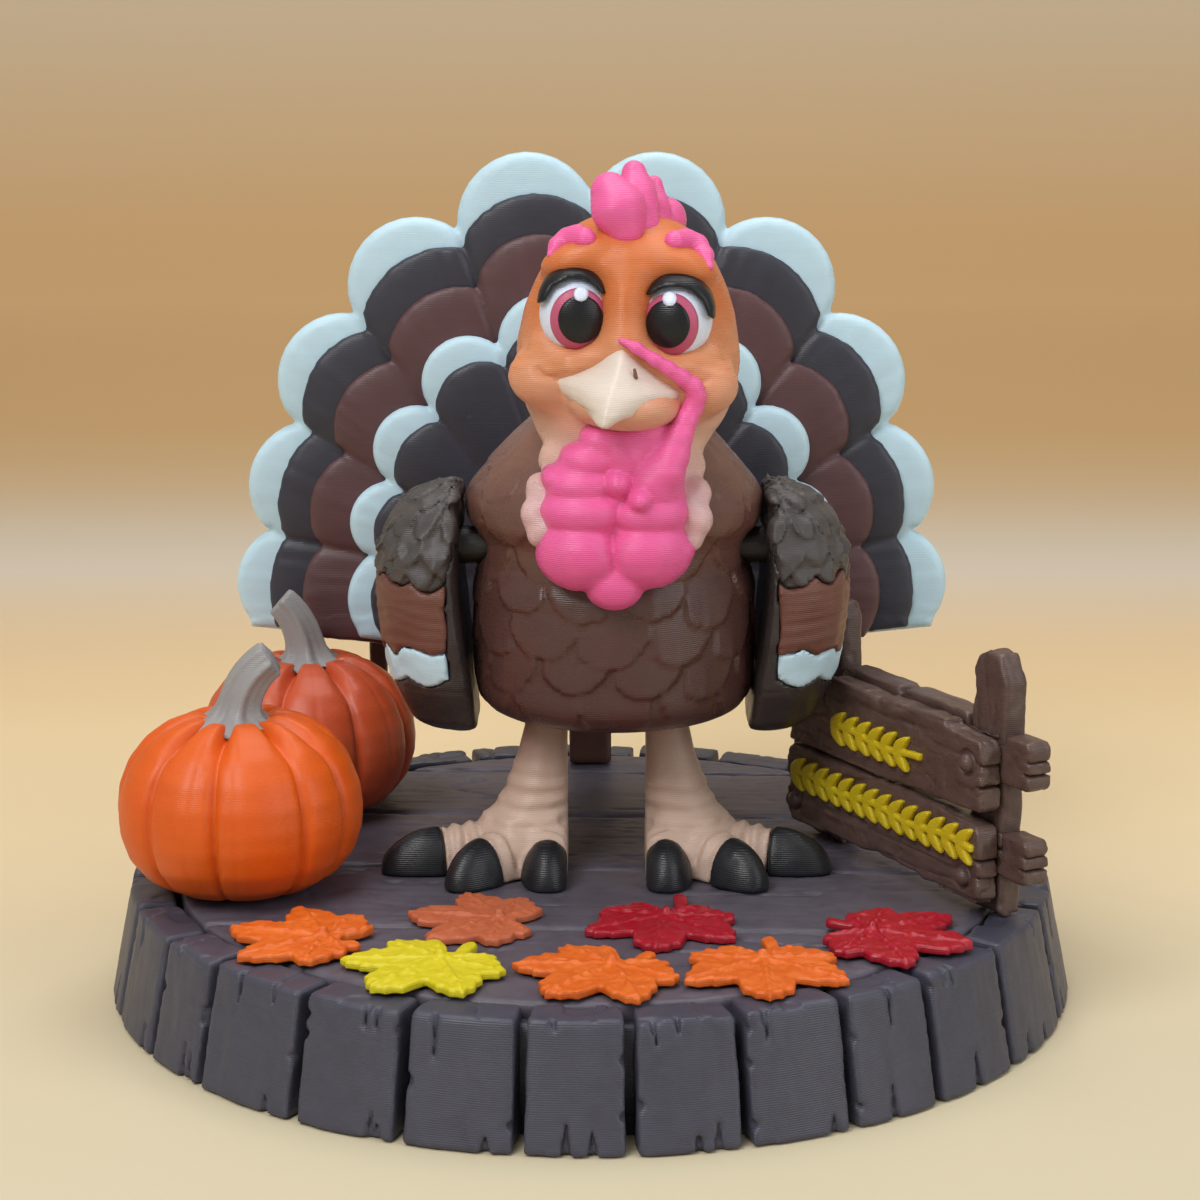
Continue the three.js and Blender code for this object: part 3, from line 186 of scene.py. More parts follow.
def edge_crossings(field):
    """For each axis the grid edges where the field changes sign, then the number of crossings round each
    cell and the sum of their places in it."""
    size = np.array(field.shape)
    count = np.zeros(size - 1, np.float32)
    total = np.zeros((*(size - 1), 3), np.float32)
    crossings = []
    for axis, (u_axis, v_axis) in enumerate(OTHER_AXES):
        near, far = np.moveaxis(field, axis, 0)[:-1], np.moveaxis(field, axis, 0)[1:]
        cross = (near < 0) != (far < 0)
        crossings.append(np.moveaxis(cross, 0, axis))
        share = np.where(cross, near / np.where(cross, near - far, 1), 0)
        counts, sums = np.moveaxis(count, axis, 0), np.moveaxis(total, axis, 0)
        for du, dv in itertools.product((0, 1), repeat=2):
            cut = np.s_[:, du:cross.shape[1] - 1 + du, dv:cross.shape[2] - 1 + dv]
            counts += cross[cut]
            sums[..., axis] += share[cut]
            sums[..., u_axis] += cross[cut] * du
            sums[..., v_axis] += cross[cut] * dv
    return crossings, count, total


def edge_quads(axis, cross, number, inside):
    """A quad round each crossed edge of an axis, through the four cells beside it, that faces outward."""
    others = OTHER_AXES[axis]
    edges = np.argwhere(cross)
    beside = edges[:, others]
    last = np.array(inside.shape)[others] - 1
    edges = edges[((beside > 0) & (beside < last)).all(1)]
    corners = []
    for offset in ((-1, -1), (0, -1), (0, 0), (-1, 0)):
        place = edges.copy()
        place[:, others] += offset
        corners.append(number[tuple(place.T)])
    quads = np.stack(corners, 1)
    turned = inside[tuple(edges.T)] == (axis == 1)
    quads[turned] = quads[turned][:, ::-1]
    return quads


def skin(field, grid):
    """A closed quad mesh over the zero level of a field, by surface nets."""
    size = [len(places) for places in grid]
    field = np.array(np.broadcast_to(field, size), np.float32)
    for axis in range(3):
        layers = np.moveaxis(field, axis, 0)
        layers[[0, -1]] = np.maximum(layers[[0, -1]], EDGE_LEVEL)
    field = np.where(np.abs(field) < LEAST_LEVEL, LEAST_LEVEL, field)
    crossings, count, total = edge_crossings(field)
    cells = np.argwhere(count > 0)
    inner = total[count > 0] / count[count > 0][:, None]
    verts = np.stack([places[c] + s * np.diff(places)[c] for places, c, s in zip(grid, cells.T, inner.T)], 1)
    number = np.full(count.shape, -1)
    number[tuple(cells.T)] = np.arange(len(cells))
    quads = [edge_quads(axis, cross, number, field < 0) for axis, cross in enumerate(crossings)]
    return verts, np.concatenate(quads)


def joined(parts):
    verts, faces, offset = [], [], 0
    for v, f in parts:
        verts.append(v)
        faces.append(f + offset)
        offset += len(v)
    return np.concatenate(verts), np.concatenate(faces)


def band(a, b, count):
    """Quads between two rings of points that start at the numbers a and b."""
    i = np.arange(count)
    j = (i + 1) % count
    return np.stack([a + i, a + j, b + j, b + i], 1)


def loft(rings):
    """Quads over closed rings of points, with a fan of triangles closing each end."""
    rings = np.asarray(rings, float)
    levels, count = rings.shape[:2]
    faces = []
    for level in range(levels - 1):
        faces += band(level * count, (level + 1) * count, count).tolist()
    top, hub = (levels - 1) * count, levels * count
    i = np.arange(count)
    j = (i + 1) % count
    faces += np.stack([j, i, np.full(count, hub)], 1).tolist()
    faces += np.stack([top + i, top + j, np.full(count, hub + 1)], 1).tolist()
    return np.concatenate([rings.reshape(-1, 3), [rings[0].mean(0), rings[-1].mean(0)]]), faces


# Paints
def linear(colour):
    """A colour of 0 to 255 as the renderer's linear one."""
    shares = [v / 255 for v in colour]
    return (*(v / 12.92 if v <= 0.04045 else ((v + 0.055) / 1.055) ** 2.4 for v in shares), 1.0)


class Paint:
    """A material with short ways to add nodes. What feeds an input is a socket, a number or a colour."""

    def __init__(self, name):
        self.material = bpy.data.materials.new(name)
        self.material.use_nodes = True
        self.tree = self.material.node_tree
        self.shader = self.tree.nodes["Principled BSDF"]
        self.place = self.add("TexCoord").outputs["Object"]
        self.parts = self.add("SeparateXYZ", {0: self.place}).outputs

    def feed(self, node, values):
        for key, value in values.items():
            if isinstance(value, bpy.types.NodeSocket):
                self.tree.links.new(value, node.inputs[key])
            else:
                node.inputs[key].default_value = value

    def add(self, kind, values=None, **settings):
        node = self.tree.nodes.new("ShaderNode" + kind)
        for name, value in settings.items():
            setattr(node, name, value)
        self.feed(node, values or {})
        return node

    def maths(self, operation, *values, clamp=False):
        return self.add("Math", dict(enumerate(values)), operation=operation, use_clamp=clamp).outputs[0]

    def around(self, value, amount, base):
        """The base, moved by amount times how far a value from 0 to 1 is from its middle."""
        return self.maths("MULTIPLY_ADD", self.maths("SUBTRACT", value, 0.5), amount, base)

    def noise(self, scale, detail=2.0, roughness=0.5, distortion=0.0):
        values = {"Vector": self.place, "Scale": scale, "Detail": detail, "Roughness": roughness,
                  "Distortion": distortion}
        return self.add("TexNoise", values).outputs["Fac"]

    def mix(self, amount, a, b):
        return self.add("Mix", {0: amount, 6: a, 7: b}, data_type="RGBA").outputs[2]

    def span(self, value, low, high, most=1.0):
        """A value's place between low and high, from 0 to most."""
        values = {"Value": value, "From Min": low, "From Max": high, "To Max": most}
        return self.add("MapRange", values).outputs[0]

    def ramp(self, value, bands, interpolation="LINEAR"):
        """Colours that follow a value through bands of (value, colour)."""
        low, high = bands[0][0], bands[-1][0]
        node = self.add("ValToRGB", {0: self.span(value, low, high)})
        node.color_ramp.interpolation = interpolation
        stops = node.color_ramp.elements
        stops[0].color, stops[1].color = linear(bands[0][1]), linear(bands[-1][1])
        for at, colour in bands[1:-1]:
            stops.new((at - low) / (high - low)).color = linear(colour)
        return node.outputs[0]

    def bump(self, height, strength, distance, normal=None):
        values = {"Height": height, "Strength": strength, "Distance": distance * MM}
        if normal:
            values["Normal"] = normal
        return self.add("Bump", values).outputs[0]


LAYER = 0.2  # height of one printed layer
BLOTCH_SIZE = 2.6
GRAIN_SCALE = 4200.0


def printed(name, colour, rough=0.42, mottle=0.10, layers=1.0, bands=None, streak=None, speckle=0.0):
    """Printed plastic: layer lines, faint blotches and fine grain. Bands are pairs of height and colour that
    replace the plain colour, a streak is a second colour, its amount and size, and speckle is dust."""
    paint = Paint(name)
    blotch = paint.noise(1 / (BLOTCH_SIZE * MM), 3.0, 0.6)
    fine = paint.noise(GRAIN_SCALE, 2.0, 0.6)
    height = paint.parts["Z"]

    # layer lines: a wave along z with small shifts, so no two lines are quite alike
    turns = paint.maths("MULTIPLY", height, 1 / (LAYER * MM))
    phase = paint.maths("MULTIPLY_ADD", paint.noise(60.0, 1.0), 0.35, turns)
    wave = paint.maths("SINE", paint.maths("MULTIPLY", phase, 2 * math.pi))
    lines = paint.maths("MULTIPLY_ADD", wave, 0.5, 0.5)
    uneven = paint.add("TexNoise", noise_dimensions="1D")
    paint.feed(uneven, {"W": height, "Scale": 900.0, "Detail": 2.0})

    tint = linear(colour)
    if bands:
        heights = [(level * MM, shade) for level, shade in bands]
        tint = paint.ramp(paint.around(blotch, 1.6 * MM, height), heights, "EASE")
    if streak:
        second, amount, size = streak
        veil = paint.maths("SUBTRACT", paint.noise(1 / (size * MM), 4.0, 0.65, 0.6), 0.45, clamp=True)
        tint = paint.mix(paint.maths("MULTIPLY", veil, amount * 4, clamp=True), tint, linear(second))

    # darker and lighter blotches, then painted shade that darkens the valleys between the layers
    tone = paint.around(blotch, 2 * mottle, 1.0)
    tone = paint.around(uneven.outputs["Fac"], 0.09 * layers, tone)
    tone = paint.maths("MULTIPLY_ADD", lines, 0.035 * layers, tone)
    if speckle:
        tone = paint.around(fine, speckle, tone)
    shaded = paint.add("HueSaturation", {"Value": tone, "Color": tint}).outputs[0]
    gloss = paint.around(fine, 0.12, paint.around(blotch, 0.16, rough))
    normal = paint.bump(lines, min(1.0, 0.6 * layers), 0.028)
    normal = paint.bump(paint.maths("MULTIPLY_ADD", fine, 0.35, blotch), 0.25, 0.12, normal)
    paint.feed(paint.shader, {"Base Color": shaded, "Roughness": gloss, "Normal": normal,
                              "Specular IOR Level": 0.45})
    return paint.material


PAINTS = {
    "base_taupe": dict(colour=(67, 67, 80), rough=0.44, streak=((57, 56, 67), 0.5, 3.0)),
    "deck_taupe": dict(colour=(88, 82, 93), rough=0.48, mottle=0.14, layers=0.35,
                       streak=((70, 63, 72), 0.6, 4.0)),
    # the body's bands run from dark low down to light on the shoulders: painted shade on the lower body and
    # painted light on its top
    "body_brown": dict(colour=(110, 74, 58), rough=0.30, mottle=0.12, layers=0.8,
                       bands=[(28, (76, 51, 47)), (40, (82, 55, 50)), (50, (103, 71, 62)),
                              (60, (134, 97, 84))]),
    # the legs darken towards their tops: painted shade under the body
    "leg_skin": dict(colour=(214, 182, 156), rough=0.40, mottle=0.07,
                     bands=[(11, (196, 168, 151)), (17, (200, 173, 155)), (28, (162, 134, 120))]),
    "head_skin": dict(colour=(230, 150, 96), rough=0.38, mottle=0.05, layers=1.5,
                      bands=[(42, (206, 166, 170)), (52, (214, 176, 176)), (57, (216, 177, 160)),
                             (62, (214, 153, 122)), (66, (213, 140, 98)), (72, (204, 112, 60)),
                             (80, (208, 116, 64))]),
    "beak_tan": dict(colour=(221, 207, 194), rough=0.36, mottle=0.05),
    "eye_white": dict(colour=(218, 226, 246), rough=0.35, mottle=0.03, layers=0.5),
    "nostril_shade": dict(colour=(120, 88, 66), rough=0.6, mottle=0.06),
    "iris_pink": dict(colour=(186, 84, 116), rough=0.38, mottle=0.06, layers=0.6),
    "eye_black": dict(colour=(12, 14, 20), rough=0.34, mottle=0.05, layers=0.7, speckle=0.2),
    "comb_pink": dict(colour=(234, 98, 160), rough=0.34, mottle=0.05, layers=1.6),
    "feather_white": dict(colour=(190, 219, 232), rough=0.44, mottle=0.04, layers=0.5),
    "feather_dark": dict(colour=(52, 52, 62), mottle=0.12, layers=0.6),
    "feather_brown": dict(colour=(88, 59, 61), mottle=0.12, layers=0.6),
    "stand_brown": dict(colour=(86, 56, 44), rough=0.46, mottle=0.14),
    "pumpkin_orange": dict(colour=(214, 89, 10), rough=0.46, mottle=0.06, layers=0.5,
                           streak=((204, 74, 8), 0.4, 5.0)),
    "pumpkin_red": dict(colour=(196, 83, 46), rough=0.36, mottle=0.06, layers=0.5,
                        streak=((184, 70, 38), 0.4, 5.0)),
    "stem_grey": dict(colour=(144, 142, 142), mottle=0.08),
    "leaf_orange": dict(colour=(210, 94, 18), rough=0.48, mottle=0.08, layers=0.8,
                        streak=((240, 132, 56), 0.4, 2.0)),
    "leaf_copper": dict(colour=(184, 94, 58), rough=0.48, mottle=0.08, layers=0.8,
                        streak=((202, 114, 76), 0.4, 2.0)),
    "leaf_yellow": dict(colour=(208, 193, 20), rough=0.48, mottle=0.06, layers=0.8,
                        streak=((206, 196, 46), 0.3, 2.0)),
    "leaf_crimson": dict(colour=(156, 12, 34), rough=0.38, mottle=0.08, layers=0.8,
                         streak=((196, 40, 62), 0.35, 2.0)),
    "sign_wood": dict(colour=(90, 70, 64), rough=0.38, mottle=0.16, streak=((66, 47, 39), 0.6, 3.0)),
    "sprig_yellow": dict(colour=(200, 178, 22)),
    "nail_dark": dict(colour=(32, 33, 36), rough=0.36, mottle=0.08),
    "wing_dark": dict(colour=(53, 47, 46), rough=0.32),
    "wing_olive": dict(colour=(72, 67, 66), rough=0.44, mottle=0.16),
    "wing_brown": dict(colour=(106, 66, 55), rough=0.44, mottle=0.12),
}


def add_piece(name, shape, body, paint, *nodes):
    """A mesh from a shape. It rides on a body and takes the place of the named nodes."""
    verts, faces = shape
    mesh = bpy.data.meshes.new(name)
    verts = verts * MM
    if isinstance(faces, np.ndarray):
        mesh.vertices.add(len(verts))
        mesh.vertices.foreach_set("co", verts.astype(np.float32).ravel())
        mesh.loops.add(faces.size)
        mesh.loops.foreach_set("vertex_index", faces.astype(np.int32).ravel())
        mesh.polygons.add(len(faces))
        mesh.polygons.foreach_set("loop_start", np.arange(0, faces.size, faces.shape[1], dtype=np.int32))
        mesh.update(calc_edges=True)
        mesh.validate()
    else:
        mesh.from_pydata(verts.tolist(), [], faces)
    mesh.polygons.foreach_set("use_smooth", np.ones(len(mesh.polygons), bool))
    mesh.update()
    mesh.materials.append(materials[paint])
    obj = bpy.data.objects.new(name, mesh)
    bpy.context.scene.collection.objects.link(obj)
    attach(obj, body)
    if nodes:
        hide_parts(*nodes)


# Base
FOOT_RADIUS = 50.0
RIM_TOP = 11.8
RIM_TOP_RADIUS = 47.6
RIM_SLOPE = (FOOT_RADIUS - RIM_TOP_RADIUS) / RIM_TOP
RIM_INNER = 43.1
HOOP_OUTER = 44.9
DECK_TOP = 11.6
DECK_RADIUS = 42.8
FRONT_GAPS = [-58, -47.2, -32.7, -19.9, -7.2, 4.4, 16.3, 28.6, 40.3, 54.2, 70]
REAR_BLOCKS = 18
BLOCK_GAP = 0.5
BLOCK_SEED = 100
PLANK_TURN = -2.8
PLANK_SEAMS = [35.1, 16.9, -2.75, -22.0]


def worn_block(places, half_angle, number, rng):
    """One upright block of the rim before its cracks: x across, y outward, z up."""
    x, y, z = places
    side = np.abs(x) * math.cos(half_angle) - y * math.sin(half_angle) + BLOCK_GAP
    side = side + 0.10 * noise(x, y, z, 2.4, number)
    top = RIM_TOP - 0.12 + 0.10 * rng.uniform(-1, 1) + 0.10 * noise(x, y, 0, 2.2, number + 50)
    face = (y - (FOOT_RADIUS - 0.25 - RIM_SLOPE * z)) * math.cos(math.atan(RIM_SLOPE))
    face = face + x * x * 0.012 - 0.15
    face = face - 0.04 * noise(x, y, z * 0.12, 0.55, number + 9)
    face = face - 0.08 * noise(x, y, z * 0.3, 1.7, number + 5)
    inner = RIM_INNER + 0.1 + 0.3 * noise(x, y, 0, 2.0, number + 21) - y
    shape = smax(smax(face, z - top, 0.45), side, 0.42)
    return smax(smax(shape, inner, 0.4), 0.02 - z, 0.25)


def with_wedges(shape, places, reach, number, rng):
    """Narrow cracks that run down from a block's top edge and up from its bottom."""
    x, y, z = places
    sway = 0.15 * noise(0, 0, z, 1.6, number + 3)
    for way, bend, spread, lengths, half, depth in ((RIM_TOP - z, sway, 0.75, (1.4, 4.6), 0.26, 0.75),
                                                    (z, 0, 0.7, (1.6, 3.8), 0.45, 0.8)):
        for _ in range(rng.integers(1, 3)):
            place = rng.uniform(-spread, spread) * reach
            length = rng.uniform(*lengths)
            crack = np.abs(x - place - bend) - half * np.clip((length - way) / length, 0, 1)
            crack = np.maximum(crack, (FOOT_RADIUS - depth - RIM_SLOPE * z) - y)
            shape = smax(shape, -np.maximum(crack, way - length), 0.12)
    return shape


def with_wear(shape, places, half_angle, reach, number, rng):
    """A flaked layer and a shallow split on a block's top, and nicks in its side edges."""
    x, y, z = places
    flake = noise(x, y, 0, 3.4, number + 61) - rng.uniform(0.15, 0.4)
    shape = np.maximum(shape, -np.maximum(-flake * 2.0, (RIM_TOP - 0.32) - z))
    place = rng.uniform(-0.6, 0.6) * reach
    lean = rng.uniform(-0.35, 0.35)
    split = np.abs(x - place - lean * (y - 46) - 0.3 * noise(0, y, 0, 1.4, number + 31)) - 0.08
    shape = smax(shape, -np.maximum(split, (RIM_TOP - 0.4) - z), 0.15)
    for _ in range(rng.integers(1, 4)):
        level = rng.uniform(1.5, 10.5)
        edge = rng.choice([-1, 1]) * (np.tan(half_angle) * 48.2 - BLOCK_GAP)
        size = (0.55, 0.7, rng.uniform(0.3, 0.55))
        nick = ellipsoid(places, (edge, 49.5 - RIM_SLOPE * level, level), size)
        shape = smax(shape, -nick, 0.2)
    return shape


def rim_block(start, end, number):
    """A block between two turns from the front, with its cracks, turned into its place."""
    rng = np.random.default_rng(BLOCK_SEED + number)
    middle = math.radians((start + end) / 2)
    half_angle = math.radians((end - start) / 2)
    reach = half_angle * 46
    grid, places = samples((-7.2, 41.2, 0), (7.2, FOOT_RADIUS, RIM_TOP), (0.28, 0.34, 0.34))
    shape = worn_block(places, half_angle, number, rng)
    shape = with_wedges(shape, places, reach, number, rng)
    shape = with_wear(shape, places, half_angle, reach, number, rng)
    verts, faces = skin(shape, grid)
    across, outward, up = verts.T
    turned = [across * math.cos(middle) + outward * math.sin(middle),
              across * math.sin(middle) - outward * math.cos(middle), up]
    return np.stack(turned, 1), faces


def hoop(inner, outer, low, high, count=160):
    """A plain ring that ties the blocks together behind their gaps."""
    angle = np.linspace(0, 2 * math.pi, count, endpoint=False)
    section = [(inner, low), (outer, low), (outer, high - 0.4), (outer - 0.3, high), (inner, high)]
    rings = [np.stack([r * np.sin(angle), -r * np.cos(angle), np.full(count, z)], 1) for r, z in section]
    faces = [band(s * count, (s + 1) % len(section) * count, count) for s in range(len(section))]
    return np.concatenate(rings), np.concatenate(faces)


def deck_top(x, y):
    """Height of the planks, with their seams, grain, figure and cracks."""
    a = math.radians(PLANK_TURN)
    along = x * math.cos(a) + y * math.sin(a)
    across = y * math.cos(a) - x * math.sin(a)
    top = DECK_TOP
    for seam in PLANK_SEAMS:
        gap = across - seam - 0.12 * noise(along, 0, 0, 6.0, 3)
        top = top - 0.75 * bell(gap, 0.34) - 0.16 * bell(gap, 1.0)
    top = top - 0.10 * np.clip(noise(along * 0.09, across, 0, 0.9, 11), 0, 1) ** 2
    figure = noise(along * 0.16, across, 0, 2.6, 17)
    top = top - 0.10 * bell((figure * 4) % 1 - 0.5, 0.10)
    cracks = noise(along * 0.10, across, 0, 3.4, 23)
    return top - 0.34 * bell(cracks, 0.035) * (noise(along * 0.3, across, 0, 5, 29) > 0.05)


def make_base():
    rear = np.linspace(FRONT_GAPS[-1], FRONT_GAPS[0] + 360, REAR_BLOCKS + 1)
    gaps = [*FRONT_GAPS, *rear[1:]]
    parts = [rim_block(start, end, i) for i, (start, end) in enumerate(zip(gaps, gaps[1:]))]
    parts.append(hoop(RIM_INNER + 0.15, HOOP_OUTER, 0.05, RIM_TOP - 1.6))
    add_piece("rim_blocks", joined(parts), "stand", "base_taupe", "base_rim")

    plan = np.arange(-DECK_RADIUS - 0.8, DECK_RADIUS + 0.81, 0.34)
    grid = [plan, plan, np.concatenate([[-2, -1, 0.0, 3, 6, 9], np.arange(10, DECK_TOP + 0.9, 0.15)])]
    x, y, z = np.ix_(*grid)
    shape = smax(z - deck_top(x, y), rod(x, y, DECK_RADIUS), 0.8)
    shape = np.maximum(shape, 0.01 - z)
    add_piece("deck_planks", skin(shape, grid), "stand", "deck_taupe", "base_deck")


# Leaves. Half the outline of a leaf of size 1 as turn from its tip and radius
LEAF_HALF = [(0, 1), (4, 0.93), (8, 0.93), (12, 0.85), (17, 0.85), (21, 0.74), (28, 0.6), (34, 0.68),
             (38, 0.78), (41, 0.77), (46, 0.9), (49, 0.9), (54, 0.97), (58, 0.87), (63, 0.86), (69, 0.74),
             (75, 0.72), (82, 0.6), (88, 0.66), (93, 0.72), (97, 0.69), (103, 0.72), (109, 0.63),
             (117, 0.6), (124, 0.52), (131, 0.56), (138, 0.52), (148, 0.4), (156, 0.3), (162, 0.22),
             (168, 0.2)]
VEINS = [(0, 0.95)] + [(side * turn, reach) for turn, reach in ((53, 0.86), (97, 0.58), (137, 0.42))
                       for side in (1, -1)]
# Place of the vein hub, size, turn, what it lies on, hue, turn and length of the stalk
LEAVES = [
    (-25.2, -27.3, 9.9, 74, RIM_TOP, "orange", 234, 3.7),
    (-8.8, -21.5, 9.5, 78, DECK_TOP, "copper", 218, 4.1),
    (-13.8, -33.6, 9.8, 143, RIM_TOP, "yellow", 325, 4.5),
    (7.4, -20.8, 9.6, 172, DECK_TOP, "crimson", 345, 6.0),
    (2.1, -35.2, 9.8, 141, RIM_TOP, "orange", 310, 4.4),
    (16.0, -33.7, 9.8, 180, RIM_TOP, "orange", 351, 5.5),
    (26.9, -25.7, 10.1, 247, RIM_TOP, "crimson", 50, 4.5),
]
LEAF_SEED = 200
LEAF_THICKNESS = 0.84


def polar(degrees, radius):
    """A point in a plane, turned by degrees from the second axis towards the first."""
    a = math.radians(degrees)
    return np.array([radius * math.sin(a), radius * math.cos(a)])


def mirrored(half, *between):
    """A closed outline from its right half, which starts on the middle line, and points between its ends."""
    return [*map(tuple, half), *between, *((-u, v) for u, v in half[:0:-1])]


def leaf_shape(size, turn, stem_turn, stem_length, seed):
    """A maple leaf round its vein hub. Turns are degrees from +y, anticlockwise."""
    grid, (x, y, z) = samples((-size - 1, -size - 1, 0), (size + 1, size + 1, 1.5), (0.2, 0.2, 0.14))
    a = math.radians(turn)
    places = u, v = x * math.cos(a) + y * math.sin(a), y * math.cos(a) - x * math.sin(a)
    flat = polygon_distance(u, v, mirrored([polar(degrees, r * size) for degrees, r in LEAF_HALF])) + 0.12
    tip = polar(turn - stem_turn, stem_length)
    bend = tip * 0.5 + np.array([tip[1], -tip[0]]) * 0.14
    stalk = np.minimum(cone(places, (0, 0), bend, 0.55, 0.6), cone(places, bend, tip, 0.6, 0.72))
    flat = smin(flat, stalk, 0.3)
    top = LEAF_THICKNESS + 0.06 * noise(u, v, 0, 1.1, seed) + 0.09 * noise(u, v, 0, 0.5, seed + 7)
    for degrees, share in VEINS:
        end = polar(degrees, share * size)
        vein = np.maximum(cone(places, (0, 0), end, 0.16, 0.02), 0)
        top = top + 0.20 * bell(vein, 0.20) * (flat < 0)
        for side, at in itertools.product((-1, 1), (0.4, 0.68)):
            stop = end * at + polar(degrees + side * 38, 0.2 * size * (1.1 - at))
            rib = np.maximum(cone(places, end * at, stop, 0.1, 0.02), 0)
            top = top + 0.07 * bell(rib, 0.2) * (flat < -0.1)
    top = top + 0.05 * bell(noise(u, v, 0, 1.0, seed + 13), 0.14)
    return skin(smax(smax(flat, z - top, 0.3), 0.02 - z, 0.1), grid)


def make_leaves():
    for i, (x, y, size, turn, ground, hue, stem_turn, stem_length) in enumerate(LEAVES):
        verts, faces = leaf_shape(size, turn, stem_turn, stem_length, LEAF_SEED + 17 * i)
        shape = verts + np.array([x, y, ground + 0.03]), faces
        add_piece(f"maple_{i + 1}", shape, "stand", f"leaf_{hue}", f"leaf_{i + 1}")


# Pumpkins. Grooves and creases are degrees from the front. A stem has a rise, a sideways swing and a shift
# of its flutes
PUMPKINS = {
    "front": dict(x=-35.4, y=-9.0, radius=12.45, height=17.7, stem=(5.9, 3.5, 0.3), paint="pumpkin_orange",
                  grooves=(-78, -41.5, -5, 40, 67, 101, 137, 172, 208, 244), creases=(-18, 6)),
    "rear": dict(x=-31.7, y=19.4, radius=11.95, height=17.3, stem=(6.4, -2.9, 0.8), paint="pumpkin_red",
                 grooves=(-55, -11, 35, 78, 120, 165, 210, 257), creases=(12, 56)),
}
# Share of the height and of the radius, from the foot to the dimple
PUMPKIN_PROFILE = [
    (0, 0.05), (0, 0.30), (0.0, 0.46), (0.03, 0.62), (0.1, 0.79), (0.22, 0.925), (0.36, 0.99), (0.47, 1.0),
    (0.6, 0.98), (0.74, 0.9), (0.86, 0.765), (0.945, 0.6), (0.99, 0.44), (1.0, 0.33), (0.97, 0.2),
    (0.93, 0.08),
]
STEM_SUNK = 0.9
STEM_FLUTES = 6


def turn_gaps(angle, turns):
    """Degrees between each angle and its nearest turns, nearest first."""
    return np.sort(np.abs((angle[:, None] - np.array(turns) + 180) % 360 - 180), 1)


def pumpkin_shape(x, y, radius, height, grooves, creases):
    share = np.linspace(0, 1, len(PUMPKIN_PROFILE))
    levels, widths = (smoothed(share, column, np.linspace(0, 1, 90), 2) for column in zip(*PUMPKIN_PROFILE))
    angle = np.linspace(0, 360, 300, endpoint=False)
    gap, other = turn_gaps(angle, grooves)[:, :2].T
    rib = gap + other
    place = np.clip(gap / rib * 2, 0, 1)
    belly = 0.085 * (np.sqrt(np.clip(1 - (1 - place) ** 2.2, 0, 1)) - 1) * (rib / 40)
    relief = belly - 0.035 * bell(gap, 2.2) - 0.008 * bell(turn_gaps(angle, creases)[:, 0], 2.0)
    a = np.radians(angle)
    rings = []
    for level, width in zip(levels, widths):
        r = radius * width * (1 + relief * (0.5 + 0.5 * min(width / 0.5, 1)))
        dip = 1.4 * max(level - 0.8, 0) / 0.2 * bell(gap, 6)
        up = RIM_TOP + 0.08 + height * level - dip
        rings.append(np.stack([x + r * np.sin(a), y - r * np.cos(a), up], 1))
    return loft(rings)


def stem_shape(x, y, height, rise, swing, turn):
    """A fluted stalk along a curve, with a star-shaped foot that spreads over the crown."""
    angle = np.linspace(0, 2 * math.pi, 84, endpoint=False)
    start = np.array([x, y, RIM_TOP + height - STEM_SUNK])
    end = start + np.array([swing, 0, rise + STEM_SUNK])
    mid = start + np.array([swing * 0.02, 0, (rise + STEM_SUNK) * 0.66])
    lobes = 0.5 - 0.5 * np.cos(STEM_FLUTES * angle + turn)
    rings = []
    for t in np.linspace(0, 1, 46):
        centre = (1 - t) ** 2 * start + 2 * t * (1 - t) * mid + t * t * end
        tangent = 2 * (1 - t) * (mid - start) + 2 * t * (end - mid)
        tangent = tangent / np.linalg.norm(tangent)
        side = np.array([tangent[2], 0, -tangent[0]])
        back = np.cross(tangent, side)
        radius = 2.25 - 0.45 * t + 2.4 * math.exp(-(t / 0.08) ** 1.1)
        star = 1 + (0.075 + 0.15 * math.exp(-t / 0.10)) * np.cos(STEM_FLUTES * angle + 1.1 * t + turn)
        star = star + 0.03 * np.cos(2 * STEM_FLUTES * angle + 2.0 + turn)
        r = radius * star * (1 - 0.10 * max(0, (t - 0.96) / 0.04))
        ring = centre + np.outer(r * np.sin(angle), side) + np.outer(r * np.cos(angle), back)
        ring[:, 2] += 0.72 * math.exp(-t / 0.05) * (lobes - 1.0) + 0.35 * math.exp(-t / 0.08)
        rings.append(ring)
    return loft(rings)


def make_pumpkins():
    for label, spec in PUMPKINS.items():
        x, y, height, paint = (spec[key] for key in ("x", "y", "height", "paint"))
        shape = pumpkin_shape(x, y, spec["radius"], height, spec["grooves"], spec["creases"])
        add_piece(f"gourd_{label}", shape, "stand", paint, f"pumpkin_{label}")
        stalk = stem_shape(x, y, height, *spec["stem"])
        add_piece(f"stalk_{label}", stalk, "stand", "stem_grey", f"stem_{label}")


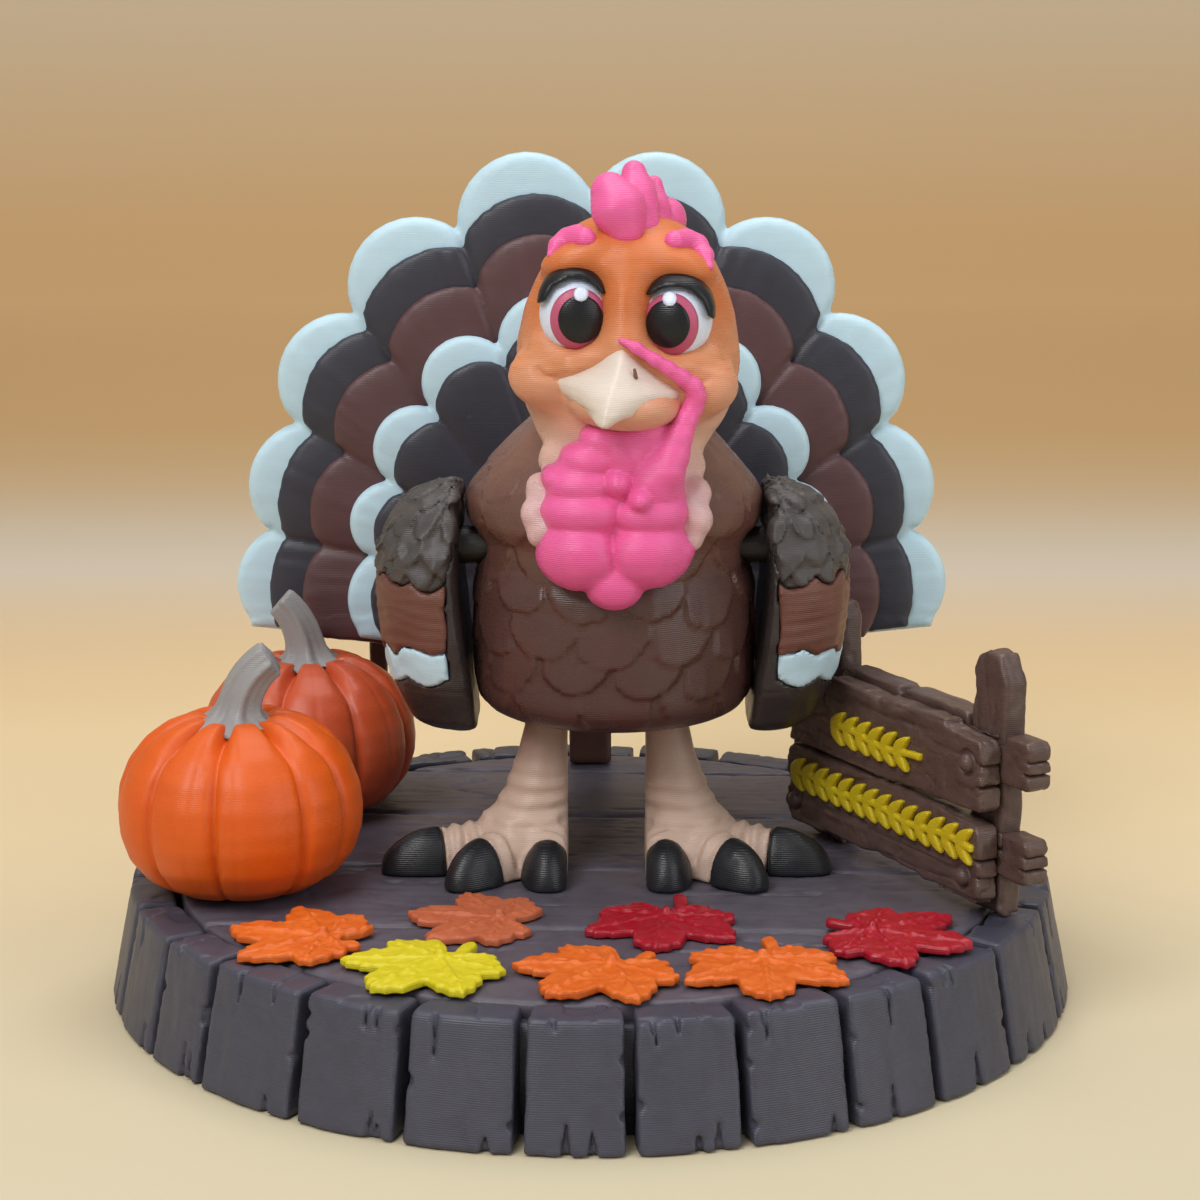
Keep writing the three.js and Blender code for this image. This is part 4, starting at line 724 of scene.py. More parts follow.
# Tail fan. Lobes are turns from the top. Each tier has its node, the radii of its peaks and notches from the
# top outward, the radius and turn of its end, a seed, and before it the plate's back, front, crown, seam, edge
# rounding and ragged rim
FAN_Z = 35.0
FAN_BOTTOM = 26.4 - FAN_Z
LOBES = [10, 30, 50, 70, 90]
TIERS = {
    "white_outer": ("large_tips", [50, 47.4, 44.3, 41.2, 40.7], [45, 43.6, 41.6, 38.8, 36.9], (39.4, 96.5),
                    (29.95, 28.0, 0.35, 0.45, 1.1, 0.0), 301),
    "dark_outer": ("large_dark", [45.4, 43, 40.4, 37.4, 36.7], [42.8, 42, 39.5, 36.6, 35.2], (36.5, 96.5),
                   (27.95, 26.9, 0.45, 0.5, 0.5, 0.09), 311),
    "brown_outer": ("large_brown", [41, 38.4, 36, 33.6, 32.9], [38, 37.3, 35, 32.4, 31.1], (31.5, 99.4),
                    (26.6, 25.7, 0.5, 0.5, 0.5, 0.07), 321),
    "white_inner": ("small_tips", [34.5, 33, 30.6, 28.7, 27.6], [31, 30.2, 28.2, 26.4, 25.3], (26.8, 100.4),
                    (25.4, 23.9, 0.35, 0.4, 0.9, 0.0), 331),
    "dark_inner": ("small_dark", [31, 29.8, 27.4, 25.8, 24.9], [29, 28.2, 26.6, 24.6, 23.4], (24.2, 101),
                   (23.8, 22.9, 0.4, 0.5, 0.5, 0.08), 341),
}
# Centre, half size and rounding of the bars of the fan's stand
STAND_BARS = [((0, 31.4, 32.6), (25.7, 1.25, 1.5), 0.4), ((-24.8, 31.4, 22.9), (1.0, 1.2, 11.2), 0.4),
              ((24.8, 31.4, 22.9), (1.0, 1.2, 11.2), 0.4), ((-0.2, 39.8, 23.4), (2.5, 2.3, 11.7), 0.5),
              ((-0.2, 35.4, 33.1), (2.5, 5.2, 1.9), 0.5)]


def arc_points(start, middle, end, steps=12):
    """Points on the arc from start through middle, without the end."""
    half = np.linalg.norm(end - start) / 2
    centre = (start + end) / 2
    rise = np.linalg.norm(middle - centre)
    radius = (half * half + rise * rise) / (2 * rise)
    hub = centre + (middle - centre) / rise * (rise - radius)
    first, last = (math.atan2(*(p - hub)[::-1]) for p in (start, end))
    sweep = (last - first) % (2 * math.pi) - 2 * math.pi
    turns = [first + sweep * i / steps for i in range(steps)]
    return [hub + radius * np.array([math.cos(a), math.sin(a)]) for a in turns]


def fan_outline(peaks, notches, end):
    radius, turn = end
    borders = [0, *((a + b) / 2 for a, b in zip(LOBES, LOBES[1:])), turn]
    summits = [*LOBES[:-1], (borders[-2] + turn) / 2]
    places = [polar(*p) for p in zip(borders, [*notches, radius])]
    half = []
    for start, stop, peak in zip(places, places[1:], zip(summits, peaks)):
        half += arc_points(start, polar(*peak), stop)
    return mirrored([*half, places[-1]], (0, FAN_BOTTOM))


def fan_plate(peaks, notches, end, relief, seed):
    back, front, crown, seam, edge, ragged = relief
    reach = peaks[0] + 1
    grid, (x, y, z) = samples((-reach, front - crown - 0.3, FAN_BOTTOM - 5.5), (reach, back, reach),
                              (0.36, 0.2, 0.36))
    flat = polygon_distance(x, z, fan_outline(peaks, notches, end))
    if ragged:
        flat = flat + ragged * (noise(x, 0, z, 0.8, seed) + 0.5 * noise(x, 0, z, 0.4, seed + 1))
    radius = rod(x, z, 0)
    turn = np.degrees(np.arctan2(np.abs(x), z))
    off = np.radians(turn - np.round(turn / 20) * 20)
    fade = np.clip((radius - 8) / 14, 0, 1)
    pillow = np.cos(np.clip(off / math.radians(10), -1, 1) * math.pi / 2) ** 2
    dip = seam * fade * (0.75 * bell(off * radius, 0.55) + 0.55 * pillow) * (turn <= 95)
    roll = np.exp(np.clip(flat, -8, 0) / 1.7)
    quill = noise(np.radians(turn) * 46, 0, radius * 0.16, 1.1, seed + 5)
    surface = front - crown * (1 - roll ** 1.5) + dip + 0.06 * quill * fade
    verts, faces = skin(smax(smax(flat, surface - y, edge), y - back, 0.25), grid)
    return verts + np.array([0, 0, FAN_Z]), faces


def make_fan():
    for name, (node, *shape) in TIERS.items():
        paint = "feather_" + name.split("_")[0]
        add_piece(f"fan_{name}", fan_plate(*shape), "stand", paint, f"fan_{node}")
    grid, places = samples((-26.5, 29.8, DECK_TOP), (26.5, 42.6, 35.4), 0.45)
    x, y, z = places
    shape = union([block(places, *bar) for bar in STAND_BARS], 0.4)
    shape = shape - 0.06 * noise(x, y, z * 0.15, 0.6, 350) - 0.05 * noise(x, y, z * 0.4, 1.8, 351)
    add_piece("stand_frame", skin(shape, grid), "stand", "stand_brown", "fan_stand")


# Body
AXIS_X = 2.3
BODY_PROFILE = [(27.5, 0.0), (27.6, 8.0), (28.0, 11.6), (28.9, 13.4), (31.0, 14.2), (35.0, 14.45),
                (39.0, 14.5), (42.0, 14.3), (44.0, 13.7), (46.4, 13.9), (48.4, 15.0), (50.4, 15.3),
                (52.0, 14.6), (54.5, 12.6), (57.0, 10.3), (58.8, 8.6), (59.9, 7.4), (60.3, 0.0)]
BODY_LEVELS, BODY_RADII = np.transpose(BODY_PROFILE)
BACK_STRETCH = 19.5 / 15.3
PEG_Z = 45.3
TAIL_PEG_Z = 40.6


def scale_relief(arc, height, width, pitch, depth):
    """Overlapping U-shaped feathers on an unrolled wall: how far each place stands proud."""
    best = 0.3 * depth
    for shift in range(-1, 3):
        row = (np.floor(height / pitch) + shift).astype(np.int64)
        stagger = (row % 2) * width / 2
        column = np.round((arc - stagger) / width).astype(np.int64)
        wobble = 0.22 * width * lattice(column, row, 0, 5)
        du = (arc - stagger - column * width - wobble) / (width * 0.56)
        tip = row * pitch - 0.22 * pitch * lattice(row, column, 1, 9)
        dv = (height - tip) / (pitch * 2.0)
        low = 0.45 * np.abs(du) ** 2.7
        inside = (np.abs(du) < 1) & (dv > low) & (dv < 1)
        ridge = 0.16 * bell(du, 0.12) * np.exp(-(dv / 0.3))
        best = np.maximum(best, np.where(inside, depth * (1 - 0.9 * (dv - low) + ridge), 0))
    return best


def make_body():
    grid, places = samples((AXIS_X - 15.9, -15.9, 27.4), (AXIS_X + 15.9, 20.3, 60.4), 0.34)
    x, y, z = places
    qx = x - AXIS_X - 0.1
    stretched = y / np.where(y > 0, BACK_STRETCH, 1.0)
    wall = smoothed(BODY_LEVELS, BODY_RADII, z, 6, 240)
    angle = np.arctan2(qx, -stretched)
    depth = np.clip((z - 28.6) / 1.5, 0, 1) * np.clip((59.0 - z) / 2, 0, 1)
    narrow = 0.72 + 0.28 * np.clip((52 - z) / 6, 0, 1)
    relief = scale_relief(angle * 14.3, z - 28.5, 7.4, 3.7, 0.62) * depth * narrow
    shape = (rod(qx, stretched, wall) - relief + 0.4) * 0.85
    shape = np.maximum(np.maximum(shape, 27.55 - z), z - 60.05)
    # dark hollows under the shoulders, then the neck bore and the tail peg's hole
    for side in SIDES.values():
        hollow = ellipsoid(places, (AXIS_X + side * 16.6, -0.5, PEG_Z + 0.3), (4.1, 9.0, 2.5))
        shape = smax(shape, -hollow, 0.9)
    shape = smax(shape, -rod(qx, y, 3.45) - 50 * (z < 49.6), 0.3)
    back_hole = rod(x - AXIS_X, z - TAIL_PEG_Z, 3.95)
    shape = np.maximum(shape, -np.maximum(back_hole, 15.0 - y))
    add_piece("feathered_body", skin(shape, grid), "stand", "body_brown", "body")

    grid, (x, y, z) = samples((AXIS_X - 4, 15.0, TAIL_PEG_Z - 4), (AXIS_X + 4, 24.0, TAIL_PEG_Z + 4), 0.35)
    peg = smax(smax(rod(x - AXIS_X, z - TAIL_PEG_Z, 3.55), y - 22.7, 0.4), 15.7 - y, 0.4)
    peg = peg - 0.04 * noise(x, y, z, 1.0, 371)
    add_piece("tail_spigot", skin(peg, grid), "stand", "body_brown", "tail_peg")


# Legs and feet. A toe has its root, how far it runs outward and how far forward
FEET_X = 1.65
TOE_BACK = -1.0
TOES = {"inner": (5.95, 0.11, 10.8), "middle": (7.59, 8.1, 10.4), "outer": (7.8, 15.4, 3.9)}
NAIL_START = 0.6
GROUND = DECK_TOP + 0.05
LEG_PATH = [(5.95, -1.0, 27.6), (6.9, -1.2, 20.2), (8.3, -1.4, 15.0)]
LEG_RADII = [2.25, 3.0, 4.7]


def toe_line(side, name):
    root, outward, forward = TOES[name]
    start = np.array([FEET_X + side * root, TOE_BACK])
    return start, start + np.array([side * outward, -forward])


def toe_places(places, side, name):
    """Distances along and across a toe, and its length."""
    start, tip = toe_line(side, name)
    length = np.linalg.norm(tip - start)
    run = (tip - start) / length
    dx, dy = local(places[:2], start)
    return dx * run[0] + dy * run[1], dx * run[1] - dy * run[0], length


def dome(across, up, half, high):
    """A half round bar on the ground, by its half width and height."""
    return (np.sqrt((across / half) ** 2 + (up / high) ** 2) - 1) * np.minimum(half, high)


def cut_inside(shape, x, side, rounding):
    """Keeps a foot clear of the middle line."""
    return smax(shape, (FEET_X + side * 4.02 - x) * side, rounding)


def toe_field(places, side, name):
    x, y, z = places
    along, across, length = toe_places(places, side, name)
    nail_at = NAIL_START * length
    t = np.clip(along / nail_at, 0, 1)
    half = 3.1 - 0.45 * t
    high = 6.4 - 2.0 * t - 0.35 * np.sin(math.pi * t)
    ring = 0.16 * np.sin(2 * math.pi * along / 1.55 + 0.5 * noise(x, y, z, 2.0, 5))
    toe = dome(across, z - GROUND, half, high) * 0.85
    toe = smax(toe, along - nail_at + 0.05, 0.5)
    toe = smax(toe, -along - 1.0, 1.0)
    return toe - ring * np.clip((z - GROUND) / 2, 0, 1) * np.clip(t * 3, 0, 1)


def leg_field(places, side):
    x, y, z = places
    path = [(FEET_X + side * across, depth, up) for across, depth, up in LEG_PATH]
    leg = tube(places, path, LEG_RADII, 1.4)
    heel = ellipsoid(places, (FEET_X + side * 7.4, 0.4, GROUND + 1.6), (4.3, 3.7, 3.3))
    leg = smin(leg, heel, 1.6)
    for name in TOES:
        leg = smin(leg, toe_field(places, side, name), 1.1)
    wrinkle = 0.11 * np.sin((z + 0.35 * noise(x, y, z, 2.5, 8)) * 2 * math.pi / 1.7)
    leg = leg - wrinkle * np.clip((z - 15) / 2, 0, 1) * np.clip((24 - z) / 3, 0, 1)
    leg = leg - 0.06 * noise(x, y, z, 1.3, 9)
    leg = smax(cut_inside(leg, x, side, 0.35), GROUND - z, 0.3)
    return np.maximum(leg, z - 27.4)


def nail_field(places, side, name):
    x, y, z = places
    along, across, length = toe_places(places, side, name)
    begin = NAIL_START * length
    t = np.clip((along - begin) / (length - begin + 0.25), 0, 1)
    half = 2.85 * np.sqrt(np.clip(1 - t ** 2.6, 0.0004, 1)) * (1 - 0.14 * t)
    high = 4.6 * np.sqrt(np.clip(1 - t ** 2.0, 0.0004, 1))
    nail = dome(across, z - GROUND, half, high)
    nail = smax(nail, begin + 0.12 - along, 0.5)
    nail = smax(nail, along - length - 0.1, 0.3)
    nail = smax(nail, GROUND - z, 0.25)
    return cut_inside(nail - 0.03 * noise(x, y, z, 0.9, 77), x, side, 0.3)


def make_feet():
    for label, side in SIDES.items():
        low, high = sorted((FEET_X + side * 3.9, FEET_X + side * 24.8))
        grid, places = samples((low, -13.6, DECK_TOP), (high, 4.4, 28.0), 0.3)
        add_piece(f"foot_{label}", skin(leg_field(places, side), grid), "stand", "leg_skin", f"leg_{label}")
        for name in TOES:
            ends = toe_line(side, name)
            low, high = np.minimum(*ends) - 3.6, np.maximum(*ends) + 3.6
            grid, places = samples((*low, DECK_TOP), (*high, 17.2), 0.22)
            shape = skin(nail_field(places, side, name), grid)
            add_piece(f"claw_{label}_{name}", shape, "stand", "nail_dark", f"nail_{label}_{name}")


# Wings. Each level cut has its share of the length from the foot, how far it bulges, reaches to the front and
# to the back, and how far its inner face leans in
WING_REACH = 15.7
WING_THICK = 8.6
WING_LEVELS, *WING_CUTS = np.transpose([
    (0, 0.6, 0.34, 0.28, 1), (0.06, 0.8, 0.64, 0.54, 0.95), (0.2, 0.97, 0.86, 0.8, 0.75),
    (0.4, 1, 0.98, 0.96, 0.35), (0.56, 1, 1, 1, 0.1), (0.74, 0.95, 0.97, 0.95, 0),
    (0.87, 0.8, 0.84, 0.82, 0), (0.95, 0.58, 0.62, 0.6, 0), (1, 0.28, 0.34, 0.32, 0)])
WING_TOP = PEG_Z + 6.7
WING_LENGTH = 26.0
WING_SEEDS = {"left": 400, "right": 450}
PIN_RADIUS = 1.97


def wing_field(places, side):
    """The plain paddle, flat inside and rounded outside, and the distance out from its inner face."""
    x, y, z = places
    out = side * (x - AXIS_X) - WING_REACH
    level = (z - (WING_TOP - WING_LENGTH)) / WING_LENGTH
    bulge, front, back, lean = (np.interp(level, WING_LEVELS, cut) for cut in WING_CUTS)
    thick = WING_THICK * bulge
    reach = np.where(y < 0, 8.5 * front, 10.0 * back)
    out = out + lean * 1.8
    r = np.sqrt(np.clip(np.abs(y) / reach, 0, 1.5) ** 2.3 + np.clip(out / thick, 0, 2) ** 2.1)
    shape = smax((r - 1) * np.minimum(reach, thick) * 0.8, -out, 1.6)
    half = WING_LENGTH / 2
    return smax(shape, np.abs(z - (WING_TOP - half)) - half, 1.2), out


def make_wing(label, side):
    seed = WING_SEEDS[label]
    centre = AXIS_X + side * (WING_REACH + 3.6)
    foot = WING_TOP - WING_LENGTH
    grid, places = samples((centre - 6.6, -9.6, foot - 0.4), (centre + 6.6, 10.9, WING_TOP + 0.3), 0.3)
    x, y, z = places
    shape, out = wing_field(places, side)

    def wavy(edge, wave, size, offset):
        """Height over a ragged edge between two zones."""
        coarse = noise(0, y, out * 0.6, size, seed + offset)
        return z - edge - wave * (coarse + 0.35 * noise(0, y, out, size * 0.4, seed + offset + 1))

    def add(name, field, paint, node):
        add_piece(f"{name}_{label}", skin(field, grid), f"wing_{label}_group", paint, node)

    # the zones: olive tuft on top, then brown patch, white band and dark tip, over a dark inner strip
    arc = np.arctan2(y, np.maximum(out + 1.5, 0.2)) * 9.0
    wander = 0.25 * noise(0, 0, z, 2.0, seed + 2)
    cover = 0.9 + 0.085 * np.clip(45 - z, 0, 20) + wander - out
    crown_cover = np.clip((46.8 - z) * 0.33, -2.2, 1.5) + wander - out
    tuft_edge = wavy(PEG_Z - 2.7, 0.5, 2.2, 10) - 0.5 + 0.85 * np.abs(np.sin(arc * math.pi / 3.9))
    patch_edge = wavy(PEG_Z - 10.0, 0.9, 1.6, 20)
    band_edge = z - (PEG_Z - 13.5) - 0.9 + 0.9 * np.abs(np.sin((arc + 1.0) * math.pi / 4.4))
    zone = np.minimum(np.maximum(cover, -band_edge), np.maximum(crown_cover, -tuft_edge))
    core = np.where(zone < 0, shape + 0.55, shape) + 0.10 * bell(z - 31.3, 0.22)
    core = core - 0.05 * noise(x, y, z, 1.6, seed + 3) - 0.03 * noise(x, y, z * 0.5, 0.6, seed + 4)
    core = core + 0.10 * np.clip(noise(0, y, z * 0.15, 1.1, seed + 8), 0, 1) * (zone > 0) * (out > 4)
    add("paddle", core, "wing_dark", f"wing_{label}")

    lobes = scale_relief(arc, z - 42.2, 3.0, 2.5, 0.75) + 0.32 * noise(x, y, z, 1.3, seed + 6)
    tuft = smax((shape + 0.4 - lobes) * 0.85, crown_cover - 0.25, 0.7)
    tuft = smax(tuft, -tuft_edge, 0.35)
    add("shoulder_feathers", smax(tuft, -(shape + 0.95), 0.2), "wing_olive", f"wing_{label}_tuft")

    ribs = 0.05 * np.sin((z + 0.8 * noise(0, y, z, 3.0, seed + 31)) * 2 * math.pi / 1.1)
    patch = shape - 0.24 - ribs - 0.10 * noise(0, y, z * 0.12, 1.3, seed + 32)
    patch = patch - 0.05 * noise(0, y, z, 1.1, seed + 33)
    patch = np.maximum(np.maximum(patch, cover), np.maximum(tuft_edge + 0.12, -patch_edge))
    add("red_patch", smax(patch, -(shape + 0.95), 0.2), "wing_brown", f"wing_{label}_patch")

    white = shape - 0.2 - 0.10 * noise(0, y, z, 1.4, seed + 41)
    white = np.maximum(np.maximum(white, cover + 0.15), np.maximum(patch_edge + 0.12, -band_edge + 0.05))
    add("white_band", smax(white, -(shape + 0.95), 0.2), "feather_white", f"wing_{label}_band")


def make_shoulder_pin(label, side):
    low, high = sorted((AXIS_X + side * 8.7, AXIS_X + side * 18.9))
    grid, (x, y, z) = samples((low, -2.4, PEG_Z - 2.4), (high, 2.4, PEG_Z + 2.4), 0.25)
    pin = rod(y, z - PEG_Z, PIN_RADIUS) + 0.04 * noise(x, y, z, 1.0, WING_SEEDS[label] + 44)
    shape = skin(smax(smax(pin, x - high, 0.4), low - x, 0.4), grid)
    add_piece(f"shoulder_pin_{label}", shape, f"wing_{label}_group", "wing_dark", f"shoulder_peg_{label}")


# Head. Its own axes are across, back and up from a pivot on the neck
HEAD_O = np.array([3.75, -4.0, 62.0])
HEAD_TURN = turn_matrix(0, 2.7, -4.0)
SEAT = 60.35
SKULL_POWER = 2.25
# Height above the pivot, half width, front and back reach of the skull's level cuts
SKULL_LEVELS, *SKULL_CUTS = np.transpose([
    (-7.0, 5.4, 7.6, 3.6), (-4.6, 8.2, 10.0, 6.2), (-2.5, 9.7, 11.3, 7.4), (0.0, 10.7, 12.1, 8.1),
    (2.5, 11.0, 12.6, 8.4), (4.0, 11.0, 12.8, 8.4), (6.0, 10.7, 12.9, 8.2), (8.0, 10.3, 12.8, 7.7),
    (10.0, 9.6, 12.5, 6.9), (12.0, 8.65, 11.9, 5.9), (13.5, 7.75, 11.1, 4.8), (15.0, 6.6, 9.9, 3.2),
    (16.0, 5.6, 8.7, 1.7), (16.8, 4.1, 7.3, -0.1), (17.3, 2.6, 5.9, -1.8), (17.6, 0.6, 4.2, -3.3),
])
COLLAR_RIM = [(-4.0, 59.0), (-4.1, 56.0), (-4.9, 54.4), (-5.6, 52.3), (-5.9, 50.4), (-5.6, 48.9), (-4.6, 47.6),
              (-2.0, 46.5), (7.5, 46.5), (9.6, 47.4), (10.7, 48.6), (11.2, 50.4), (11.1, 52.6), (10.6, 54.6),
              (10.2, 56.0), (9.8, 59.0)]
# Soft lumps at the collar's sides: place across and up, size
COLLAR_LUMPS = [(-4.9, 53.2, 1.4), (-5.3, 50.9, 1.5), (-4.9, 48.9, 1.3), (-3.8, 55.9, 1.2), (-3.6, 58.2, 0.9),
                (-4.0, 52.0, 1.3), (-4.2, 49.6, 1.3), (10.0, 55.0, 1.3), (10.4, 52.6, 1.5), (10.4, 50.3, 1.6),
                (9.8, 48.5, 1.3), (9.6, 57.6, 1.0), (9.5, 51.5, 1.4)]


def add_head_piece(name, field, grid, paint, *nodes):
    add_piece(name, skin(field, grid), "head_group", paint, *nodes)


def head_local(places):
    return local(places, HEAD_O, HEAD_TURN)


def body_wall(z):
    return np.interp(z, BODY_LEVELS, BODY_RADII)


def skull_field(q):
    u, v, w = q
    half, front, back = (smoothed(SKULL_LEVELS, cut, w) for cut in SKULL_CUTS)
    middle = (back - front) / 2
    depth = (back + front) / 2
    r = ((np.abs(u) / half) ** SKULL_POWER + (np.abs(v - middle) / depth) ** SKULL_POWER) ** (1 / SKULL_POWER)
    wall = (r - 1) * np.minimum(half, depth)
    return smax(wall * 0.9, np.abs(w - 5.3) - 12.25, 0.8)


def forehead_ridge(q, side):
    return ellipsoid(q, (side * 4.9, -8.5, 13.2), (3.7, 3.0, 1.6), turn_matrix(0, side * 22, 0))


def face_field(q):
    """The skull with eye sockets, the bridge between them, ridges, cheeks, lower lids and jaw."""
    sides = SIDES.values()
    head = skull_field(q)
    for s in sides:
        head = smax(head, -ellipsoid(q, (s * 4.7, -13.4, 8.4), (4.5, 3.6, 5.1)), 1.5)
    head = smin(head, tube(q, [(0, -9.6, 13.0), (0, -10.6, 9.0), (0, -11.0, 5.4)], [1.8, 1.9, 2.4], 1.0), 1.6)
    head = union([head, *(forehead_ridge(q, s) for s in sides)], 1.6)
    head = union([head, *(ellipsoid(q, (s * 7.6, -9.0, 1.6), (3.5, 2.9, 2.9)) for s in sides)], 1.8)
    lid_paths = [[(s * 1.9, -11.7, 4.6), (s * 4.9, -11.9, 3.3), (s * 8.2, -9.8, 4.8)] for s in sides]
    head = union([head, *(tube(q, path, [0.7, 0.95, 0.7], 0.6) for path in lid_paths)], 1.2)
    head = smin(head, ellipsoid(q, (0.4, -11.4, -0.5), (5.3, 5.3, 2.4)), 1.0)
    u, v, w = q
    for s in sides:
        path = [(s * 6.2, 1.75), (s * 7.2, 1.85), (s * 8.1, 2.4)]
        crease = np.minimum(cone((u, w), *path[:2]), cone((u, w), *path[1:]))
        head = head + 0.42 * bell(crease, 0.3) * (v < -6)
    return head


def neck_field(places, radial):
    """The throat, and a collar of soft lumps that lies on the chest."""
    x, y, z = places
    throat = tube(places, [(3.3, -5.2, 61.0), (3.2, -7.6, 56.0), (3.0, -8.8, 52.0)], [7.3, 7.0, 7.6], 2.0)
    ripple = 0.45 * np.cos(z * 2 * math.pi / 3.1 + 0.6 * np.sin(x)) + 0.3 * noise(x, y, z, 2.0, 77)
    outline = polygon_distance(x, z, COLLAR_RIM) - ripple
    bib = smax(outline, radial - body_wall(z) - 1.25 - 0.3 * ripple, 1.3)
    bib = np.maximum(bib, y + 5)
    lumps = []
    for cx, cz, r in COLLAR_LUMPS:
        reach = body_wall(cz) + 1.0
        depth = -math.sqrt(max(reach ** 2 - (cx - AXIS_X) ** 2, 4.0))
        lumps.append(ellipsoid(places, (cx, depth, cz), (r * 0.95, r * 1.1, r * 1.05)))
    return smin(throat, smin(bib, union(lumps, 0.7), 0.9), 1.6)


def make_skin():
    grid, places = samples((-9.6, -22.0, 42.2), (16.6, 5.4, 80.6), 0.29)
    x, y, z = places
    q = u, v, w = head_local(places)
    radial = rod(x - AXIS_X, y, 0)
    head = smin(face_field(q), neck_field(places, radial), 1.8)
    # below the seat only the front half is left, clear of the body
    head = np.maximum(head, np.where(z < SEAT, body_wall(z) + 0.45 - radial, -1e3))
    head = smax(head, np.where(z < SEAT, y + 5.0, -1e3), 0.4)
    head = head - 0.05 * noise(u, v, w, 1.6, 501)
    wrinkle = np.sin(w * 2 * math.pi / 0.95 + 1.5 * np.abs(u)) * bell(w - 3.2, 1.6)
    head = head - 0.05 * wrinkle * (np.abs(u) > 3)
    add_head_piece("head_skin", head, grid, "head_skin", "head")

    grid, (x, y, z) = samples((AXIS_X - 3, -3, 50.4), (AXIS_X + 3, 3, 62), 0.4)
    spigot = smax(rod(x - AXIS_X, y, 2.95), np.abs(z - 56.2) - 5.8, 0.3)
    add_head_piece("neck_spigot", spigot, grid, "head_skin")


# Eyes. A lid's outline is across and up
EYE_U, EYE_V, EYE_W = 4.93, -9.9, 7.9
EYE_RADII = (3.35, 2.9, 3.75)
LIDS = {
    "left": [(-8.35, 8.9), (-8.25, 10.0), (-7.83, 11.2), (-6.6, 12.45), (-5.5, 12.85), (-4.4, 12.85),
             (-3.2, 12.3), (-2.3, 11.2), (-1.95, 10.1), (-2.2, 10.15), (-3.49, 11.35), (-4.4, 11.55),
             (-5.37, 11.45), (-6.96, 10.6), (-7.8, 9.1)],
    "right": [(8.4, 8.3), (8.35, 9.4), (7.97, 10.5), (7.2, 11.5), (6.3, 12.15), (5.3, 12.5), (4.2, 12.5),
              (3.1, 12.1), (2.3, 11.2), (1.93, 10.2), (2.2, 10.2), (3.1, 10.85), (4.09, 11.15), (5.1, 11.2),
              (6.2, 10.9), (7.4, 9.9), (7.95, 8.6)],
}
# Discs on the eyeball: centre and radii seen from the front, how far proud, how deep, edge and paint
EYE_DISCS = {
    "iris": ((-0.55, -0.4), (2.68, 3.0), 0.14, 0.5, 0.15, "iris_pink"),
    "pupil_disc": ((-0.8, -0.35), (2.12, 2.3), 0.27, 0.3, 0.15, "eye_black"),
    "glint": ((-0.75, 2.05), (0.7, 0.7), 0.55, 0.2, 0.35, "eye_white"),
}


def make_eye(label, side):
    centre = HEAD_O + HEAD_TURN @ np.array([side * EYE_U, EYE_V, EYE_W])
    grid, places = samples(centre - np.array([5.2, 4.6, 4.6]), centre + np.array([5.2, 3.6, 6.0]), 0.16)
    q = u, v, w = head_local(places)
    ball = ellipsoid(q, (side * EYE_U, EYE_V, EYE_W), EYE_RADII)
    add_head_piece(f"eyeball_{label}", ball, grid, "eye_white", f"eye_{label}")
    for name, (middle, radii, proud, deep, edge, paint) in EYE_DISCS.items():
        across = ((u - side * EYE_U) * side - middle[0]) / radii[0]
        up = (w - EYE_W - middle[1]) / radii[1]
        disc = smax(ball - proud, rod(across, up, 1) * min(radii), edge)
        disc = np.maximum(smax(disc, v - EYE_V, 0.2), -(ball + deep))
        nodes = [f"pupil_{label}"] if name == "pupil_disc" else []
        add_head_piece(f"{name}_{label}", disc, grid, paint, *nodes)
    lid = smax(polygon_distance(u, w, LIDS[label]) - 0.12, ball - 0.95, 0.5)
    lid = np.maximum(smax(lid, v - EYE_V - 1.2, 0.4), -(ball + 1.2))
    add_head_piece(f"lash_{label}", lid, grid, "eye_black", f"eyelid_{label}")


# Brows, as places across and up over the forehead
BROWS = {
    "left": [(-7.45, 13.3), (-6.9, 14.1), (-6.0, 14.75), (-5.0, 15.0), (-4.2, 15.05)],
    "right": [(7.7, 12.95), (7.15, 13.9), (6.3, 14.75), (5.2, 15.1), (4.3, 15.2)],
}
BROW_RADII = [0.40, 0.80, 1.02, 1.12, 1.02]


def skull_front(u, w):
    """How far forward the forehead reaches at a place seen from the front."""
    v = np.linspace(-16, -2, 281)
    q = (u, v, w)
    return v[np.argmax(smin(skull_field(q), forehead_ridge(q, np.sign(u)), 1.6) < 0)]


def make_brow(label):
    path = BROWS[label]
    middle = HEAD_O + HEAD_TURN @ np.array([path[2][0], -9, 14.2])
    grid, places = samples(middle - np.array([4.0, 6.0, 3.2]), middle + np.array([4.0, 6.4, 3.0]), 0.18)
    across = [u for u, _ in path]
    depths = np.polyval(np.polyfit(across, [skull_front(*place) for place in path], 2), across)
    spots = [(u, v - 0.05, w) for (u, w), v in zip(path, depths)]
    add_head_piece(f"eyebrow_{label}", tube(head_local(places), spots, BROW_RADII, 0.6), grid, "comb_pink",
                   f"brow_{label}")


# Comb
COMB_LOBES = [
    ([(1.85, -12.0, 81.65), (2.75, -12.6, 79.9), (3.5, -13.0, 77.9)], [1.75, 2.35, 1.55], 1.4),
    ([(4.25, -8.6, 83.2), (4.45, -9.3, 81.0), (4.8, -10.6, 77.8)], [1.2, 1.75, 2.0], 1.2),
    ([(6.2, -6.2, 82.0), (6.3, -6.8, 80.0), (6.4, -7.6, 77.6)], [0.9, 1.35, 1.6], 0.5),
]


